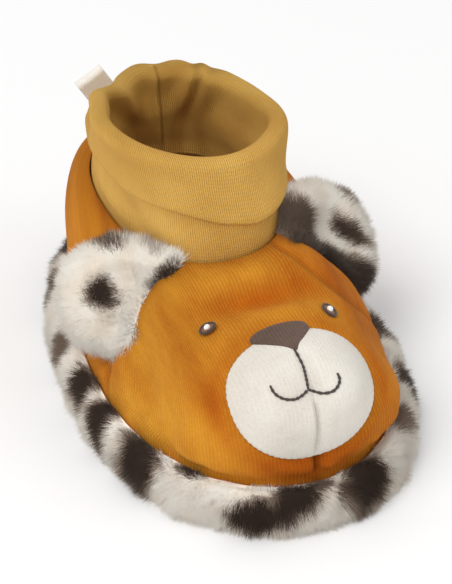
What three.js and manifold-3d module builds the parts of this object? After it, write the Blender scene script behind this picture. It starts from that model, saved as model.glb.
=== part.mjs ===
// A baby's soft slipper with an animal's face. A hollow velour upper stands on a flat fabric sole that
// is edged with a plush band. A knitted cuff rises from its collar and turns over once. Two plush ears,
// a white muzzle, a nose and two eyes are sewn on, with a ribbon loop at the heel and a tab at the side.
// Millimetres. The toe points along -Y, Z is up from the floor, and the origin is on the floor at the
// middle of the sole. Angles run round the slipper from the toe, past +X, to the heel at half a turn.
import * as THREE from "three";
import Module from "manifold-3d";
import { mergeVertices } from "three/addons/utils/BufferGeometryUtils.js";

const wasm = await Module();
wasm.setup();

// Sole
const soleLength = 114;
const ballWidth = 66;
const ballSetForward = 8;
const bandWidth = 4.4;
const bandHeight = 11;
const tuftDepth = 1;
const outsoleThickness = 4;
const insoleThickness = 3.2;
const clearance = 0.3;

// Upper and its collar
const upperWall = 2.2;
const collarFrontHeight = 36.5;
const collarBackHeight = 37;
const collarWidth = 35.5;
const collarLength = 55;
const collarFromHeel = 12.5;

// Cuff
const cuffWall = 1.6;
const cuffHeight = 58;
const cuffMouth = 35.5;
const cuffForward = 2.5;
const cuffTuck = 4;
const cuffRoll = 8;
const turnUpHeight = 15;
const turnUpSlant = 5.5;
const turnUpThickness = 2.2;

// Face
const muzzleWidth = 29.5;
const muzzleHeight = 24.5;
const muzzleTilt = 42;
const muzzleStuffing = 4.5;
const muzzleThickness = 1.2;
const noseWidth = 12;
const noseHeight = 7;
const noseOverhang = 1.2;
const noseThickness = 1.7;
const eyeWidth = 3.4;
const eyeHeight = 4.4;
const eyeThickness = 0.8;

// Ears
const earDiameter = 26;
const earThickness = 9;
const earOutTurn = 36;
const earTilt = 40;

// Pull loop and side tab
const ribbonWidth = 6.5;
const ribbonThickness = 0.7;
const ribbonHeight = 20.5;
const ribbonGap = 1;
const ribbonLean = 29;
const tabLength = 19;
const tabReach = 6.5;
const tabThickness = 1.1;
const tabLean = 33;

// Places that follow from the sizes above
const upperFoot = outsoleThickness + clearance;
const upperInset = bandWidth + clearance;
const collarSetBack = soleLength / 2 - collarFromHeel - collarLength / 2;
const cuffSetBack = collarSetBack - cuffForward;

const lerp = (a, b, share) => a + (b - a) * share;
const clamp01 = (value) => Math.min(1, Math.max(0, value));
const smooth = (value) => {
  const t = clamp01(value);
  return t * t * (3 - 2 * t);
};
const radians = THREE.MathUtils.degToRad;
const vec = (x, y, z) => new THREE.Vector3(x, y, z);

// A column of a table whose rows are given at angles in degrees from the toe, the same on both sides.
function rowAt(rows, column, angle) {
  const turned = Math.abs(THREE.MathUtils.euclideanModulo(angle + Math.PI, 2 * Math.PI) - Math.PI);
  const degrees = THREE.MathUtils.radToDeg(turned);
  const reached = rows.findIndex((row, i) => i > 0 && degrees <= row.angle);
  const next = reached < 0 ? rows.length - 1 : reached;
  const from = rows[next - 1];
  const to = rows[next];
  return lerp(from[column], to[column], smooth((degrees - from.angle) / (to.angle - from.angle)));
}

// The sole's outline: two half ovals that meet where it is widest, at the ball of the foot. A squareness
// of 2 is an ellipse, and more is fuller at the corners.
const toeSquareness = 2.15;
const heelSquareness = 2;

function outlineEdge(angle) {
  const y = (-Math.cos(angle) * soleLength) / 2;
  const fromBall = y + ballSetForward;
  const reach = fromBall < 0 ? soleLength / 2 - ballSetForward : soleLength / 2 + ballSetForward;
  const power = fromBall < 0 ? toeSquareness : heelSquareness;
  const share = Math.max(0, 1 - Math.pow(Math.abs(fromBall) / reach, power));
  return vec((Math.sign(Math.sin(angle)) * Math.pow(share, 1 / power) * ballWidth) / 2, y, 0);
}

// The same outline moved inwards by a distance, square to itself.
function outlinePoint(angle, inset, z = 0) {
  const step = 0.02;
  const along = outlineEdge(angle + step).sub(outlineEdge(angle - step)).normalize();
  const point = outlineEdge(angle);
  return vec(point.x - along.y * inset, point.y + along.x * inset, z);
}

// The collar's edge: a squared oval that rises from the instep to the heel.
const collarSquareness = 2.3;

function squaredOval(angle, halfWidth, halfLength, power) {
  const s = Math.sin(angle);
  const c = Math.cos(angle);
  const x = Math.sign(s) * Math.pow(Math.abs(s), 2 / power) * halfWidth;
  const y = -Math.sign(c) * Math.pow(Math.abs(c), 2 / power) * halfLength;
  return vec(x, y, 0);
}

function collarPoint(angle, inset = 0) {
  const point = squaredOval(angle, collarWidth / 2 - inset, collarLength / 2 - inset, collarSquareness);
  const back = smooth((point.y + collarLength / 2) / collarLength);
  return vec(point.x, point.y + collarSetBack, lerp(collarFrontHeight, collarBackHeight, back));
}

// How squarely the wall turns from the band to the collar (1 is a straight slope, 2 a quarter ellipse).
// swell is how far it stands out halfway up, and roll how far it bulges low down, over the band; both are
// shares of the ball width.
const wallRows = [
  { angle: 0, fullness: 3.3, swell: 0.0, roll: 0.0 },
  { angle: 35, fullness: 2.1, swell: 0.05, roll: 0.042 },
  { angle: 62, fullness: 1.65, swell: -0.024, roll: 0.01 },
  { angle: 85, fullness: 1.8, swell: 0.012, roll: 0.01 },
  { angle: 115, fullness: 2.8, swell: 0.026, roll: 0.0 },
  { angle: 150, fullness: 2.8, swell: 0.026, roll: 0.0 },
  { angle: 180, fullness: 3.2, swell: 0.012, roll: 0.0 },
];

// The low bulge is full at the first share of the wall's lift, and dies away from the second to the third.
const rollFull = 0.1;
const rollFrom = 0.16;
const rollEnd = 0.56;

// The muzzle's own frame: its middle on the toe's centre line, its face turned up from the front.
const muzzleOut = vec(0, -Math.cos(radians(muzzleTilt)), Math.sin(radians(muzzleTilt)));
const muzzleUp = vec(0, Math.sin(radians(muzzleTilt)), Math.cos(radians(muzzleTilt)));
const muzzleMiddle = vec(0, -0.402 * soleLength, 0.735 * collarFrontHeight);

// Soft dents and swellings of the velour. Places are shares of the half ball width, the half sole length
// and the collar's front height; reach and depth are shares of the ball width. Depth is outwards.
const softForms = [
  { name: "brow hollow", across: 0, along: -0.42, up: 0.96, reachX: 0.2, reachY: 0.085, depth: -0.03 },
  { name: "forehead", across: 0, along: -0.26, up: 1, reachX: 0.2, reachY: 0.09, depth: 0.012 },
  { name: "cheek", across: 0.62, along: -0.71, up: 0.48, reachX: 0.11, reachY: 0.11, depth: 0.02 },
  { name: "ear seam", across: 0.75, along: -0.04, up: 0.72, reachX: 0.3, reachY: 0.11, depth: -0.062 },
];

// Up to this share of its rise the wall stands straight, behind the plush band.
const bandRise = 0.08;

function plainUpperPoint(angle, rise) {
  const foot = outlinePoint(angle, upperInset);
  if (rise <= bandRise) return foot.setZ(lerp(upperFoot, bandHeight, rise / bandRise));
  const edge = collarPoint(angle);
  const share = (rise - bandRise) / (1 - bandRise);
  const lift = (share * Math.PI) / 2;
  const power = rowAt(wallRows, "fullness", angle);
  const c = Math.cos(lift);
  const s = Math.sin(lift);
  const reach = Math.pow(Math.pow(c, power) + Math.pow(s, power), -1 / power);
  const rolled = smooth(share / rollFull) * (1 - smooth((share - rollFrom) / (rollEnd - rollFrom)));
  const out = rowAt(wallRows, "swell", angle) * Math.sin(2 * lift) + rowAt(wallRows, "roll", angle) * rolled;
  const outward = foot.clone().sub(edge).setZ(0).normalize();
  const inward = 1 - reach * c;
  return vec(
    lerp(foot.x, edge.x, inward) + outward.x * out * ballWidth,
    lerp(foot.y, edge.y, inward) + outward.y * out * ballWidth,
    lerp(bandHeight, edge.z, reach * s),
  );
}

function normalOf(surface, u, v, step = 0.004) {
  const across = surface(u + step, v).sub(surface(u - step, v));
  const up = surface(u, Math.min(1, v + step)).sub(surface(u, Math.max(0, v - step)));
  return across.cross(up).normalize();
}

// The stuffing is full as far out as the first share of the muzzle's half size, and gone at the second.
const stuffingFull = 0.35;
const stuffingGone = 1.15;
// Over these shares of the rise the forms fade out towards the band and towards the collar.
const bandFade = 0.12;
const collarFade = 0.1;

// The upper's outer face: the plain wall with the stuffed muzzle and the soft forms.
function upperPoint(angle, rise) {
  const point = plainUpperPoint(angle, rise);
  const free = smooth((rise - bandRise) / bandFade) * smooth((1 - rise) / collarFade);
  if (free === 0) return point;
  const out = normalOf(plainUpperPoint, angle, rise);
  const moved = point.clone();
  for (const form of softForms) {
    const dx = (Math.abs(point.x) - (form.across * ballWidth) / 2) / (form.reachX * ballWidth);
    const dy = (point.y - (form.along * soleLength) / 2) / (form.reachY * ballWidth);
    const dz = (point.z - form.up * collarFrontHeight) / (form.reachX * ballWidth);
    const share = Math.exp(-(dx * dx + dy * dy + dz * dz));
    moved.addScaledVector(out, form.depth * ballWidth * share * free);
  }
  const from = point.clone().sub(muzzleMiddle);
  const spread = Math.hypot(from.x / (muzzleWidth / 2), from.dot(muzzleUp) / (muzzleHeight / 2));
  const near = smooth((from.dot(muzzleOut) + muzzleHeight) / (muzzleHeight / 2));
  const pillow = (1 - smooth((spread - stuffingFull) / (stuffingGone - stuffingFull))) * near * free;
  return moved.addScaledVector(muzzleOut, muzzleStuffing * pillow);
}

function upperOffset(angle, rise, distance) {
  return upperPoint(angle, rise).addScaledVector(normalOf(upperPoint, angle, rise), distance);
}

// Angles round a ring, closer together at the toe.
function ringAngles(count, crowding = 0) {
  const angles = [];
  for (let i = 0; i < count; i++) {
    const even = (2 * Math.PI * i) / count;
    angles.push(even - crowding * Math.sin(even));
  }
  return angles;
}

// A closed geometry from rings of points. Each ring runs the way the angles do; the rings run up the
// outside. With wrapped rings the last joins the first; otherwise each end closes on its own middle.
function ringGeometry(rings, wrapped) {
  const count = rings[0].length;
  const positions = [];
  const index = [];
  rings.forEach((ring) => ring.forEach((p) => positions.push(p.x, p.y, p.z)));
  const steps = wrapped ? rings.length : rings.length - 1;
  for (let j = 0; j < steps; j++) {
    const low = j * count;
    const high = ((j + 1) % rings.length) * count;
    for (let i = 0; i < count; i++) {
      const next = (i + 1) % count;
      index.push(low + i, low + next, high + next, low + i, high + next, high + i);
    }
  }
  if (!wrapped) {
    const ends = [
      { ring: 0, flip: true },
      { ring: rings.length - 1, flip: false },
    ];
    for (const { ring, flip } of ends) {
      const middle = rings[ring].reduce((sum, p) => sum.add(p), vec(0, 0, 0)).divideScalar(count);
      const centre = positions.length / 3;
      positions.push(middle.x, middle.y, middle.z);
      for (let i = 0; i < count; i++) {
        const a = ring * count + i;
        const b = ring * count + ((i + 1) % count);
        index.push(...(flip ? [centre, b, a] : [centre, a, b]));
      }
    }
  }
  const geometry = new THREE.BufferGeometry();
  geometry.setAttribute("position", new THREE.Float32BufferAttribute(positions, 3));
  geometry.setIndex(index);
  return geometry;
}

function solidFrom(geometry) {
  const bare = new THREE.BufferGeometry();
  bare.setAttribute("position", geometry.getAttribute("position"));
  bare.setIndex(geometry.index);
  const merged = mergeVertices(bare, 1e-4);
  return new wasm.Manifold(
    new wasm.Mesh({
      numProp: 3,
      vertProperties: new Float32Array(merged.attributes.position.array),
      triVerts: new Uint32Array(merged.index.array),
    }),
  );
}

function geometryFrom(solid) {
  const mesh = solid.getMesh();
  const geometry = new THREE.BufferGeometry();
  const positions = new Float32Array(mesh.numVert * 3);
  for (let i = 0; i < mesh.numVert; i++) {
    positions.set(mesh.vertProperties.subarray(i * mesh.numProp, i * mesh.numProp + 3), i * 3);
  }
  geometry.setAttribute("position", new THREE.BufferAttribute(positions, 3));
  geometry.setIndex(new THREE.BufferAttribute(new Uint32Array(mesh.triVerts), 1));
  return geometry;
}

// The largest piece of a cut solid, so that no sliver is left beside it.
function largestPiece(solid) {
  return solid.decompose().reduce((best, piece) => (piece.volume() > best.volume() ? piece : best));
}

// The upper is a shell: up its outer face from sole to collar, then down its inner face.
const upperAngles = ringAngles(60, 0.28);
const outerRises = [0, bandRise];
for (let i = 1; i <= 18; i++) outerRises.push(lerp(bandRise, 1, i / 18));
const innerRises = outerRises.filter((rise, i) => i < 2 || i % 2 === 1).reverse();

function upperGeometry() {
  const ring = (rise, distance) => upperAngles.map((angle) => upperOffset(angle, rise, distance));
  const outer = outerRises.map((rise) => ring(rise, 0));
  const inner = innerRises.map((rise) => ring(rise, -upperWall));
  return ringGeometry([...outer, ...inner], true);
}

// The upper's outer form, filled and grown by a distance, which pieces sewn onto it are cut against.
function upperForm(distance) {
  const rings = outerRises.map((rise) => upperAngles.map((angle) => upperOffset(angle, rise, distance)));
  return solidFrom(ringGeometry(rings, false));
}

// The cuff follows the collar at its foot and is round at its mouth, which leans to one side. Between
// them it draws in by a share of its mouth, up to a share of its height.
const cuffAngles = ringAngles(44, 0.1);
const cuffWaist = 0.02;
const cuffWaistEnd = 0.625;

function cuffPoint(angle, share, offset) {
  const foot = collarPoint(angle, clearance);
  const mouth = squaredOval(angle, cuffMouth / 2, cuffMouth / 2, 2);
  const mouthZ = cuffHeight - mouth.x * Math.tan(radians(cuffRoll));
  const blend = smooth(share);
  const waist = -cuffWaist * cuffMouth * Math.sin(Math.PI * clamp01(share / cuffWaistEnd));
  const radial = mouth.clone().normalize();
  return vec(
    lerp(foot.x, mouth.x, blend) + radial.x * (offset + waist),
    lerp(foot.y, mouth.y + cuffSetBack, blend) + radial.y * (offset + waist),
    lerp(foot.z, mouthZ, share),
  );
}

// The share of the cuff's height where the turn-up ends, lower on the side that the mouth leans to.
const leastTube = 0.12;

function turnUpShare(angle) {
  const foot = cuffPoint(angle, 0, 0).z;
  const rim = cuffPoint(angle, 1, 0).z;
  const height = turnUpHeight + turnUpSlant * Math.sin(angle);
  return Math.max(leastTube, 1 - height / (rim - foot));
}

// Rows up the outside, over the mouth and down the inside. share is of the turn-up's height from its
// lower edge to the rim, or below it of the plain tube; out is a share of the turn-up's thickness.
const cuffRows = [
  { part: "tube", share: 0, out: 0 },
  { part: "tube", share: 0.55, out: 0 },
  { part: "tube", share: 1, out: 0 },
  { part: "turn", share: 0.0, out: 0.9 },
  { part: "turn", share: 0.08, out: 1.05 },
  { part: "turn", share: 0.45, out: 1 },
  { part: "turn", share: 0.85, out: 1 },
  { part: "turn", share: 0.97, out: 0.7 },
  { part: "turn", share: 1, out: 0.15 },
  { part: "lining", share: 0.97, out: -0.5 },
  { part: "lining", share: 0.85, out: -1 },
  { part: "lining", share: 0.5, out: -1 },
  { part: "lining", share: 0.2, out: -1 },
  { part: "lining", share: 0, out: -1 },
];

function cuffRing(row, grow = 0) {
  return cuffAngles.map((angle) => {
    const turn = turnUpShare(angle);
    if (row.part === "tube") return cuffPoint(angle, row.share * turn, grow);
    if (row.part === "turn") {
      return cuffPoint(angle, lerp(turn, 1, row.share), row.out * turnUpThickness + grow);
    }
    return cuffPoint(angle, row.share, row.out * cuffWall);
  });
}

// The tube's tucked foot hangs straight down inside the collar.
function tucked(ring) {
  return ring.map((p) => vec(p.x, p.y, p.z - cuffTuck));
}

function cuffGeometry() {
  const outside = cuffRows.filter((row) => row.part !== "lining").map((row) => cuffRing(row));
  const inside = cuffRows.filter((row) => row.part === "lining").map((row) => cuffRing(row));
  return ringGeometry([tucked(outside[0]), ...outside, ...inside, tucked(inside[inside.length - 1])], true);
}

function cuffForm(distance) {
  const outside = cuffRows.filter((row) => row.part !== "lining").map((row) => cuffRing(row, distance));
  const form = solidFrom(ringGeometry([tucked(outside[0]), ...outside], false));
  return form.add(form.translate([0, 0, -distance]));
}

// How far a point of the plush stands out: every third point is the tip of a lock, and the rows alternate.
function lockAt(i, j) {
  return (i + 2 * (j % 2)) % 3 === 0 ? tuftDepth : -tuftDepth / 4;
}

// The plush band's section, from its inner foot out and over the top. in is a share of the band's width
// from its outer edge, up a share of its height, and tufts says where the pile stands in locks.
const bandRows = [
  { in: 1, up: 0, tufts: 0 },
  { in: 0.5, up: 0, tufts: 0 },
  { in: 0.16, up: 0.14, tufts: 1 },
  { in: 0, up: 0.4, tufts: 1 },
  { in: 0.07, up: 0.7, tufts: 1 },
  { in: 0.36, up: 0.93, tufts: 1 },
  { in: 0.72, up: 1, tufts: 0.5 },
  { in: 1, up: 0.92, tufts: 0 },
];
const bandAngles = ringAngles(96, 0.05);

function bandGeometry() {
  const rings = bandRows.map((row, j) =>
    bandAngles.map((angle, i) => {
      const lock = row.tufts * lockAt(i, j);
      return outlinePoint(angle, row.in * bandWidth - lock, row.up * bandHeight - lock / 2);
    }),
  );
  return ringGeometry(rings, true);
}

// A flat panel in the sole's outline, its edge eased by the given share of its thickness.
function panelGeometry(inset, bottom, thickness, ease) {
  const angles = ringAngles(48, 0.05);
  const level = (extra, z) => angles.map((angle) => outlinePoint(angle, inset + extra, z));
  const eased = ease * thickness;
  return ringGeometry(
    [
      level(eased, bottom),
      level(0, bottom + eased),
      level(0, bottom + thickness - eased),
      level(eased, bottom + thickness),
    ],
    false,
  );
}

// A prism square to the muzzle's face, from an outline in its own plane.
function muzzlePrism(outline, reach) {
  const ring = (distance) =>
    outline.map(([across, up]) =>
      muzzleMiddle
        .clone()
        .add(vec(across, 0, 0))
        .addScaledVector(muzzleUp, up)
        .addScaledVector(muzzleOut, distance),
    );
  return solidFrom(ringGeometry([ring(-reach), ring(reach)], false));
}

function ovalOutline(halfWidth, halfHeight, count, power = 2) {
  return ringAngles(count).map((angle) => {
    const point = squaredOval(angle, halfWidth, halfHeight, power);
    return [point.x, point.y];
  });
}

// The nose is a rounded triangle that hangs from the muzzle's upper edge, with its point down.
function noseOutline(grow) {
  const top = muzzleHeight / 2 + noseOverhang + grow;
  const tip = muzzleHeight / 2 + noseOverhang - noseHeight - grow;
  const half = noseWidth / 2 + grow;
  return [
    [0, tip],
    [0.35 * half, lerp(tip, top, 0.26)],
    [half, lerp(tip, top, 0.72)],
    [0.86 * half, lerp(tip, top, 0.9)],
    [0.45 * half, top],
    [-0.45 * half, top],
    [-0.86 * half, lerp(tip, top, 0.9)],
    [-half, lerp(tip, top, 0.72)],
    [-0.35 * half, lerp(tip, top, 0.26)],
  ];
}

// What lies on the upper inside a prism, from the clearance up to a thickness.
function patchOn(prism, ground, thickness) {
  return largestPiece(prism.intersect(upperForm(clearance + thickness)).subtract(ground));
}

// An eye is a small oval patch, square to the velour where it sits.
const eyeAngle = 29;
const eyeRise = 0.7;

function eyeSolid(side, ground) {
  const angle = side * radians(eyeAngle);
  const middle = upperPoint(angle, eyeRise);
  const out = normalOf(upperPoint, angle, eyeRise);
  const across = vec(0, 0, 1).cross(out).normalize();
  const up = out.clone().cross(across);
  const ring = (distance) =>
    ovalOutline(eyeWidth / 2, eyeHeight / 2, 14).map(([x, y]) =>
      middle.clone().addScaledVector(across, x).addScaledVector(up, y).addScaledVector(out, distance),
    );
  const depth = eyeHeight;
  return patchOn(solidFrom(ringGeometry([ring(-depth), ring(depth)], false)), ground, eyeThickness);
}

// An ear's section from the hollow at its front, round its rim, to its back.
const earRows = [
  { out: 0.1, forward: 0.2 },
  { out: 0.32, forward: 0.32 },
  { out: 0.58, forward: 0.46 },
  { out: 0.82, forward: 0.4 },
  { out: 0.97, forward: 0.18 },
  { out: 1, forward: -0.08 },
  { out: 0.9, forward: -0.36 },
  { out: 0.6, forward: -0.5 },
  { out: 0.22, forward: -0.5 },
];
const earSeatAngle = 76;
const earSeatRise = 0.63;
const earSeatLift = 0.22;

function earGeometry(side) {
  const seatAngle = side * radians(earSeatAngle);
  const seat = upperOffset(seatAngle, earSeatRise, earThickness * earSeatLift);
  const turnOut = radians(earOutTurn);
  const tilt = radians(earTilt);
  const out = vec(
    side * Math.sin(turnOut) * Math.cos(tilt),
    -Math.cos(turnOut) * Math.cos(tilt),
    Math.sin(tilt),
  );
  const across = vec(0, 0, 1).cross(out).normalize();
  const up = out.clone().cross(across);
  const angles = ringAngles(24);
  const rings = earRows.map((row, j) =>
    angles.map((angle, i) => {
      const reach = row.out * (earDiameter / 2) + (row.out > 0.5 ? lockAt(i, j) : 0);
      return seat
        .clone()
        .addScaledVector(across, reach * Math.cos(angle))
        .addScaledVector(up, reach * Math.sin(angle))
        .addScaledVector(out, row.forward * earThickness);
    }),
  );
  return ringGeometry(rings.reverse(), false);
}

// The pull loop: a ribbon that stands up from the heel seam, folds over and comes down behind itself.
// It leans to one side and a little forwards, and bows back by ribbonBow on the way up.
const ribbonBack = 2.5;
const ribbonSink = 5;
const ribbonForward = 0.12;
const ribbonBow = 1.6;
const ribbonBowEnd = 1.25;
const ribbonFold = 0.8;
const ribbonSteps = 6;

function loopGeometry() {
  const lean = radians(ribbonLean);
  const foot = collarPoint(Math.PI).add(vec(0, ribbonBack, -ribbonSink));
  const rise = vec(-Math.sin(lean), -ribbonForward, Math.cos(lean)).normalize();
  const wide = vec(Math.cos(lean), 0, Math.sin(lean));
  const back = wide.clone().cross(rise).normalize();
  if (back.y < 0) back.negate();
  const half = (ribbonGap + ribbonThickness) / 2;
  const fold = (ribbonFold * (ribbonGap / 2 + ribbonThickness)) / ribbonHeight;
  const middleLine = [];
  for (let i = 0; i <= ribbonSteps; i++) middleLine.push({ behind: -half, share: i / ribbonSteps });
  middleLine.push({ behind: 0, share: 1 + fold });
  for (let i = ribbonSteps; i >= 0; i--) middleLine.push({ behind: half, share: i / ribbonSteps });
  const at = ({ behind, share }) =>
    foot
      .clone()
      .addScaledVector(rise, share * ribbonHeight)
      .addScaledVector(back, behind + ribbonBow * Math.sin((Math.PI * share) / ribbonBowEnd));
  const rings = middleLine.map((point, i) => {
    const before = middleLine[Math.max(0, i - 1)];
    const after = middleLine[Math.min(middleLine.length - 1, i + 1)];
    const square = at(after).sub(at(before)).cross(wide).normalize();
    const corner = (u, v) =>
      at(point)
        .addScaledVector(wide, (u * ribbonWidth) / 2)
        .addScaledVector(square, (v * ribbonThickness) / 2);
    return [corner(-1, -1), corner(1, -1), corner(1, 1), corner(-1, 1)];
  });
  return ringGeometry(rings, false);
}

// The side tab: a folded strip that stands out of the side seam, which leans back as it rises.
const tabAngle = 97;
const tabRise = 0.3;

function tabGeometry() {
  const angle = radians(tabAngle);
  const seat = upperPoint(angle, tabRise);
  const out = normalOf(upperPoint, angle, tabRise).setZ(0).normalize();
  const lean = radians(tabLean);
  const up = vec(-out.y, out.x, 0).multiplyScalar(Math.sin(lean)).setZ(Math.cos(lean));
  const tab = new THREE.BoxGeometry(tabReach * 2, tabThickness, tabLength);
  const place = new THREE.Matrix4().makeBasis(out, up.clone().cross(out), up);
  const lowest = bandHeight + clearance + (tabLength * Math.cos(lean)) / 2 + tabThickness;
  place.setPosition(seat.x, seat.y, Math.max(seat.z, lowest));
  return tab.applyMatrix4(place);
}

// A closed solid from a geometry, with its triangles turned round where a ring list ran the other way.
function facingOut(geometry) {
  const solid = solidFrom(geometry);
  if (solid.volume() > 0) return solid;
  const index = geometry.index.array;
  for (let i = 0; i < index.length; i += 3) [index[i + 1], index[i + 2]] = [index[i + 2], index[i + 1]];
  return solidFrom(geometry);
}

const looks = {
  velour: { color: 0xc9781e, roughness: 0.95 },
  plush: { color: 0xd8cec2, roughness: 1 },
  jersey: { color: 0xd0a648, roughness: 0.95 },
  suede: { color: 0x5a2a1c, roughness: 0.95 },
  white: { color: 0xebe6de, roughness: 0.95 },
  brown: { color: 0x5c4c4a, roughness: 0.95 },
  ribbon: { color: 0xe6dfd2, roughness: 0.9 },
  tab: { color: 0x7b3a2a, roughness: 0.8 },
};

const slipper = new THREE.Group();

function addPiece(name, geometry, look) {
  const piece = new THREE.Mesh(geometry, new THREE.MeshStandardMaterial({ metalness: 0, ...looks[look] }));
  piece.name = name;
  slipper.add(piece);
}

const ground = upperForm(clearance);
const cuffGround = cuffForm(clearance);

const insoleInset = upperInset + upperWall + clearance;
addPiece("outsole", panelGeometry(upperInset, 0, outsoleThickness, 0.15), "suede");
addPiece("plush_band", bandGeometry(), "plush");
addPiece("insole", panelGeometry(insoleInset, upperFoot, insoleThickness, 0.25), "suede");
addPiece("upper", upperGeometry(), "velour");
addPiece("cuff", cuffGeometry(), "jersey");

const nosePrism = muzzlePrism(noseOutline(0), muzzleHeight);
const noseRoom = muzzlePrism(noseOutline(2 * clearance), muzzleHeight);
const muzzleOval = muzzlePrism(ovalOutline(muzzleWidth / 2, muzzleHeight / 2, 36, 2.3), muzzleHeight);
addPiece("muzzle", geometryFrom(patchOn(muzzleOval.subtract(noseRoom), ground, muzzleThickness)), "white");
addPiece("nose", geometryFrom(patchOn(nosePrism, ground, noseThickness)), "brown");

const sides = [
  { name: "left", side: 1 },
  { name: "right", side: -1 },
];
for (const { name, side } of sides) {
  addPiece("eye_" + name, geometryFrom(eyeSolid(side, ground)), "brown");
  const ear = facingOut(earGeometry(side)).subtract(ground).subtract(cuffGround);
  addPiece("ear_" + name, geometryFrom(largestPiece(ear)), "plush");
}

const loop = facingOut(loopGeometry()).subtract(ground).subtract(cuffGround);
addPiece("pull_loop", geometryFrom(largestPiece(loop)), "ribbon");
const tab = facingOut(tabGeometry()).subtract(ground);
addPiece("side_tab", geometryFrom(largestPiece(tab)), "tab");

export default slipper;
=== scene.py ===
"""A baby's soft slipper with an animal's face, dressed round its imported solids.

Sizes are in millimetres and angles run round the slipper from the toe, past +X, to the heel, as in the
solids. Each mesh is put down in metres.
"""

import math

import bpy
import numpy as np
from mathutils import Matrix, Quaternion, Vector


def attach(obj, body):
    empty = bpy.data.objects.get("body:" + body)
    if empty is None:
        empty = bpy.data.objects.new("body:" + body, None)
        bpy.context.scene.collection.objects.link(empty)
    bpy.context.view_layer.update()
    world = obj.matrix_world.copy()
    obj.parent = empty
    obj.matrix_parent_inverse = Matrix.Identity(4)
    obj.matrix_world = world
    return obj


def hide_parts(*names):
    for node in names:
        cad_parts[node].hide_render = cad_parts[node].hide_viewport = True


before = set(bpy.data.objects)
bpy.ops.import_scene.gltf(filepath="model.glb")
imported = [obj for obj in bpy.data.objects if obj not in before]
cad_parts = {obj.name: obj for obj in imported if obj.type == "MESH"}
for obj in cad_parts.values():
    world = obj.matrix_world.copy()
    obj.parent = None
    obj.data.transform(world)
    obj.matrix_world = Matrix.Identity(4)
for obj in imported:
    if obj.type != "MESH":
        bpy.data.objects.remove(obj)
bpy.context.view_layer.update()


# Floor, light and camera. A pale floor under soft studio light from above and from the left. The camera
# looks down at the toe from the wearer's right, as the photo does.
def node(tree, kind, inputs=None, **settings):
    """A shader node with its settings. Each input takes a value or another node's output."""
    made = tree.nodes.new("ShaderNode" + kind)
    for option, value in settings.items():
        setattr(made, option, value)
    for socket, value in (inputs or {}).items():
        if isinstance(value, bpy.types.NodeSocket):
            tree.links.new(value, made.inputs[socket])
        else:
            made.inputs[socket].default_value = value
    return made


def sum_of(tree, operation, first, second=0.0, third=0.0):
    """The output of one sum: the operation on two or three values or outputs."""
    return node(tree, "Math", {0: first, 1: second, 2: third}, operation=operation).outputs[0]


def dye(code, alpha=1.0):
    """A linear colour from a six-figure sRGB code."""
    parts = [int(code[i : i + 2], 16) / 255 for i in (0, 2, 4)]
    return [p / 12.92 if p <= 0.04045 else ((p + 0.055) / 1.055) ** 2.4 for p in parts] + [alpha]


def finish_of(name, roughness, gloss=0.5, sheen=0.0, sheen_roughness=0.5, sheen_tint="FFFFFF"):
    """A new material with its constants: its node tree and its one Principled shader."""
    made = bpy.data.materials.new(name)
    made.use_nodes = True
    shader = made.node_tree.nodes["Principled BSDF"]
    shader.inputs["Roughness"].default_value = roughness
    shader.inputs["Specular IOR Level"].default_value = gloss
    shader.inputs["Sheen Weight"].default_value = sheen
    shader.inputs["Sheen Roughness"].default_value = sheen_roughness
    shader.inputs["Sheen Tint"].default_value = dye(sheen_tint)
    return made, made.node_tree, shader


floor_finish, tree, shader = finish_of("studio_floor", 0.9, 0.1)
shader.inputs["Base Color"].default_value = dye("F4F4F4")
floor_mesh = bpy.data.meshes.new("studio_floor")
floor_mesh.from_pydata([(-6, -6, 0), (6, -6, 0), (6, 6, 0), (-6, 6, 0)], [], [(0, 1, 2, 3)])
floor_mesh.materials.append(floor_finish)
studio_floor = bpy.data.objects.new("studio_floor", floor_mesh)
bpy.context.collection.objects.link(studio_floor)

sky = bpy.data.worlds.new("studio_sky")
sky.use_nodes = True
sky.node_tree.nodes["Background"].inputs["Color"].default_value = (1.0, 1.0, 1.0, 1.0)
sky.node_tree.nodes["Background"].inputs["Strength"].default_value = 0.69
bpy.context.scene.world = sky
bpy.context.scene.view_settings.view_transform = "Standard"

lamps = (
    {"name": "key_light", "at": (-0.55, -0.35, 0.95), "size": 0.7, "watts": 7.2},
    {"name": "fill_light", "at": (0.9, -0.9, 0.7), "size": 1.0, "watts": 2.2},
)
for lamp in lamps:
    data = bpy.data.lights.new(lamp["name"], "AREA")
    data.shape, data.size, data.energy = "DISK", lamp["size"], lamp["watts"]
    light = bpy.data.objects.new(lamp["name"], data)
    light.location = lamp["at"]
    light.rotation_mode = "QUATERNION"
    light.rotation_quaternion = (-Vector(lamp["at"])).to_track_quat("-Z", "Y")
    bpy.context.collection.objects.link(light)

camera = bpy.data.objects.new("camera", bpy.data.cameras.new("camera"))
eye_point = Vector((-0.2329, -0.6352, 0.5011))
aim_point = Vector((0.0005, -0.0035, 0.0235))
camera_roll = -2.25
camera.location = eye_point
camera.rotation_mode = "QUATERNION"
camera.rotation_quaternion = (aim_point - eye_point).to_track_quat("-Z", "Y") @ Quaternion(
    (0, 0, 1), math.radians(camera_roll)
)
camera.data.sensor_width = 36
camera.data.lens = 248
camera.data.clip_start, camera.data.clip_end = 0.01, 20
bpy.context.collection.objects.link(camera)
bpy.context.scene.camera = camera


# Outsole. A flat padded panel of rust-brown brushed cloth in the sole's outline. It is sewn to the plush
# band round its edge and stands on the floor.
sole_length, ball_width, ball_set_forward = 114.0, 66.0, 8.0
toe_squareness, heel_squareness = 2.15, 2.0
outsole_thickness, seam_gap, band_width, band_height = 4.0, 0.3, 4.4, 11.0
upper_inset = band_width + seam_gap


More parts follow.
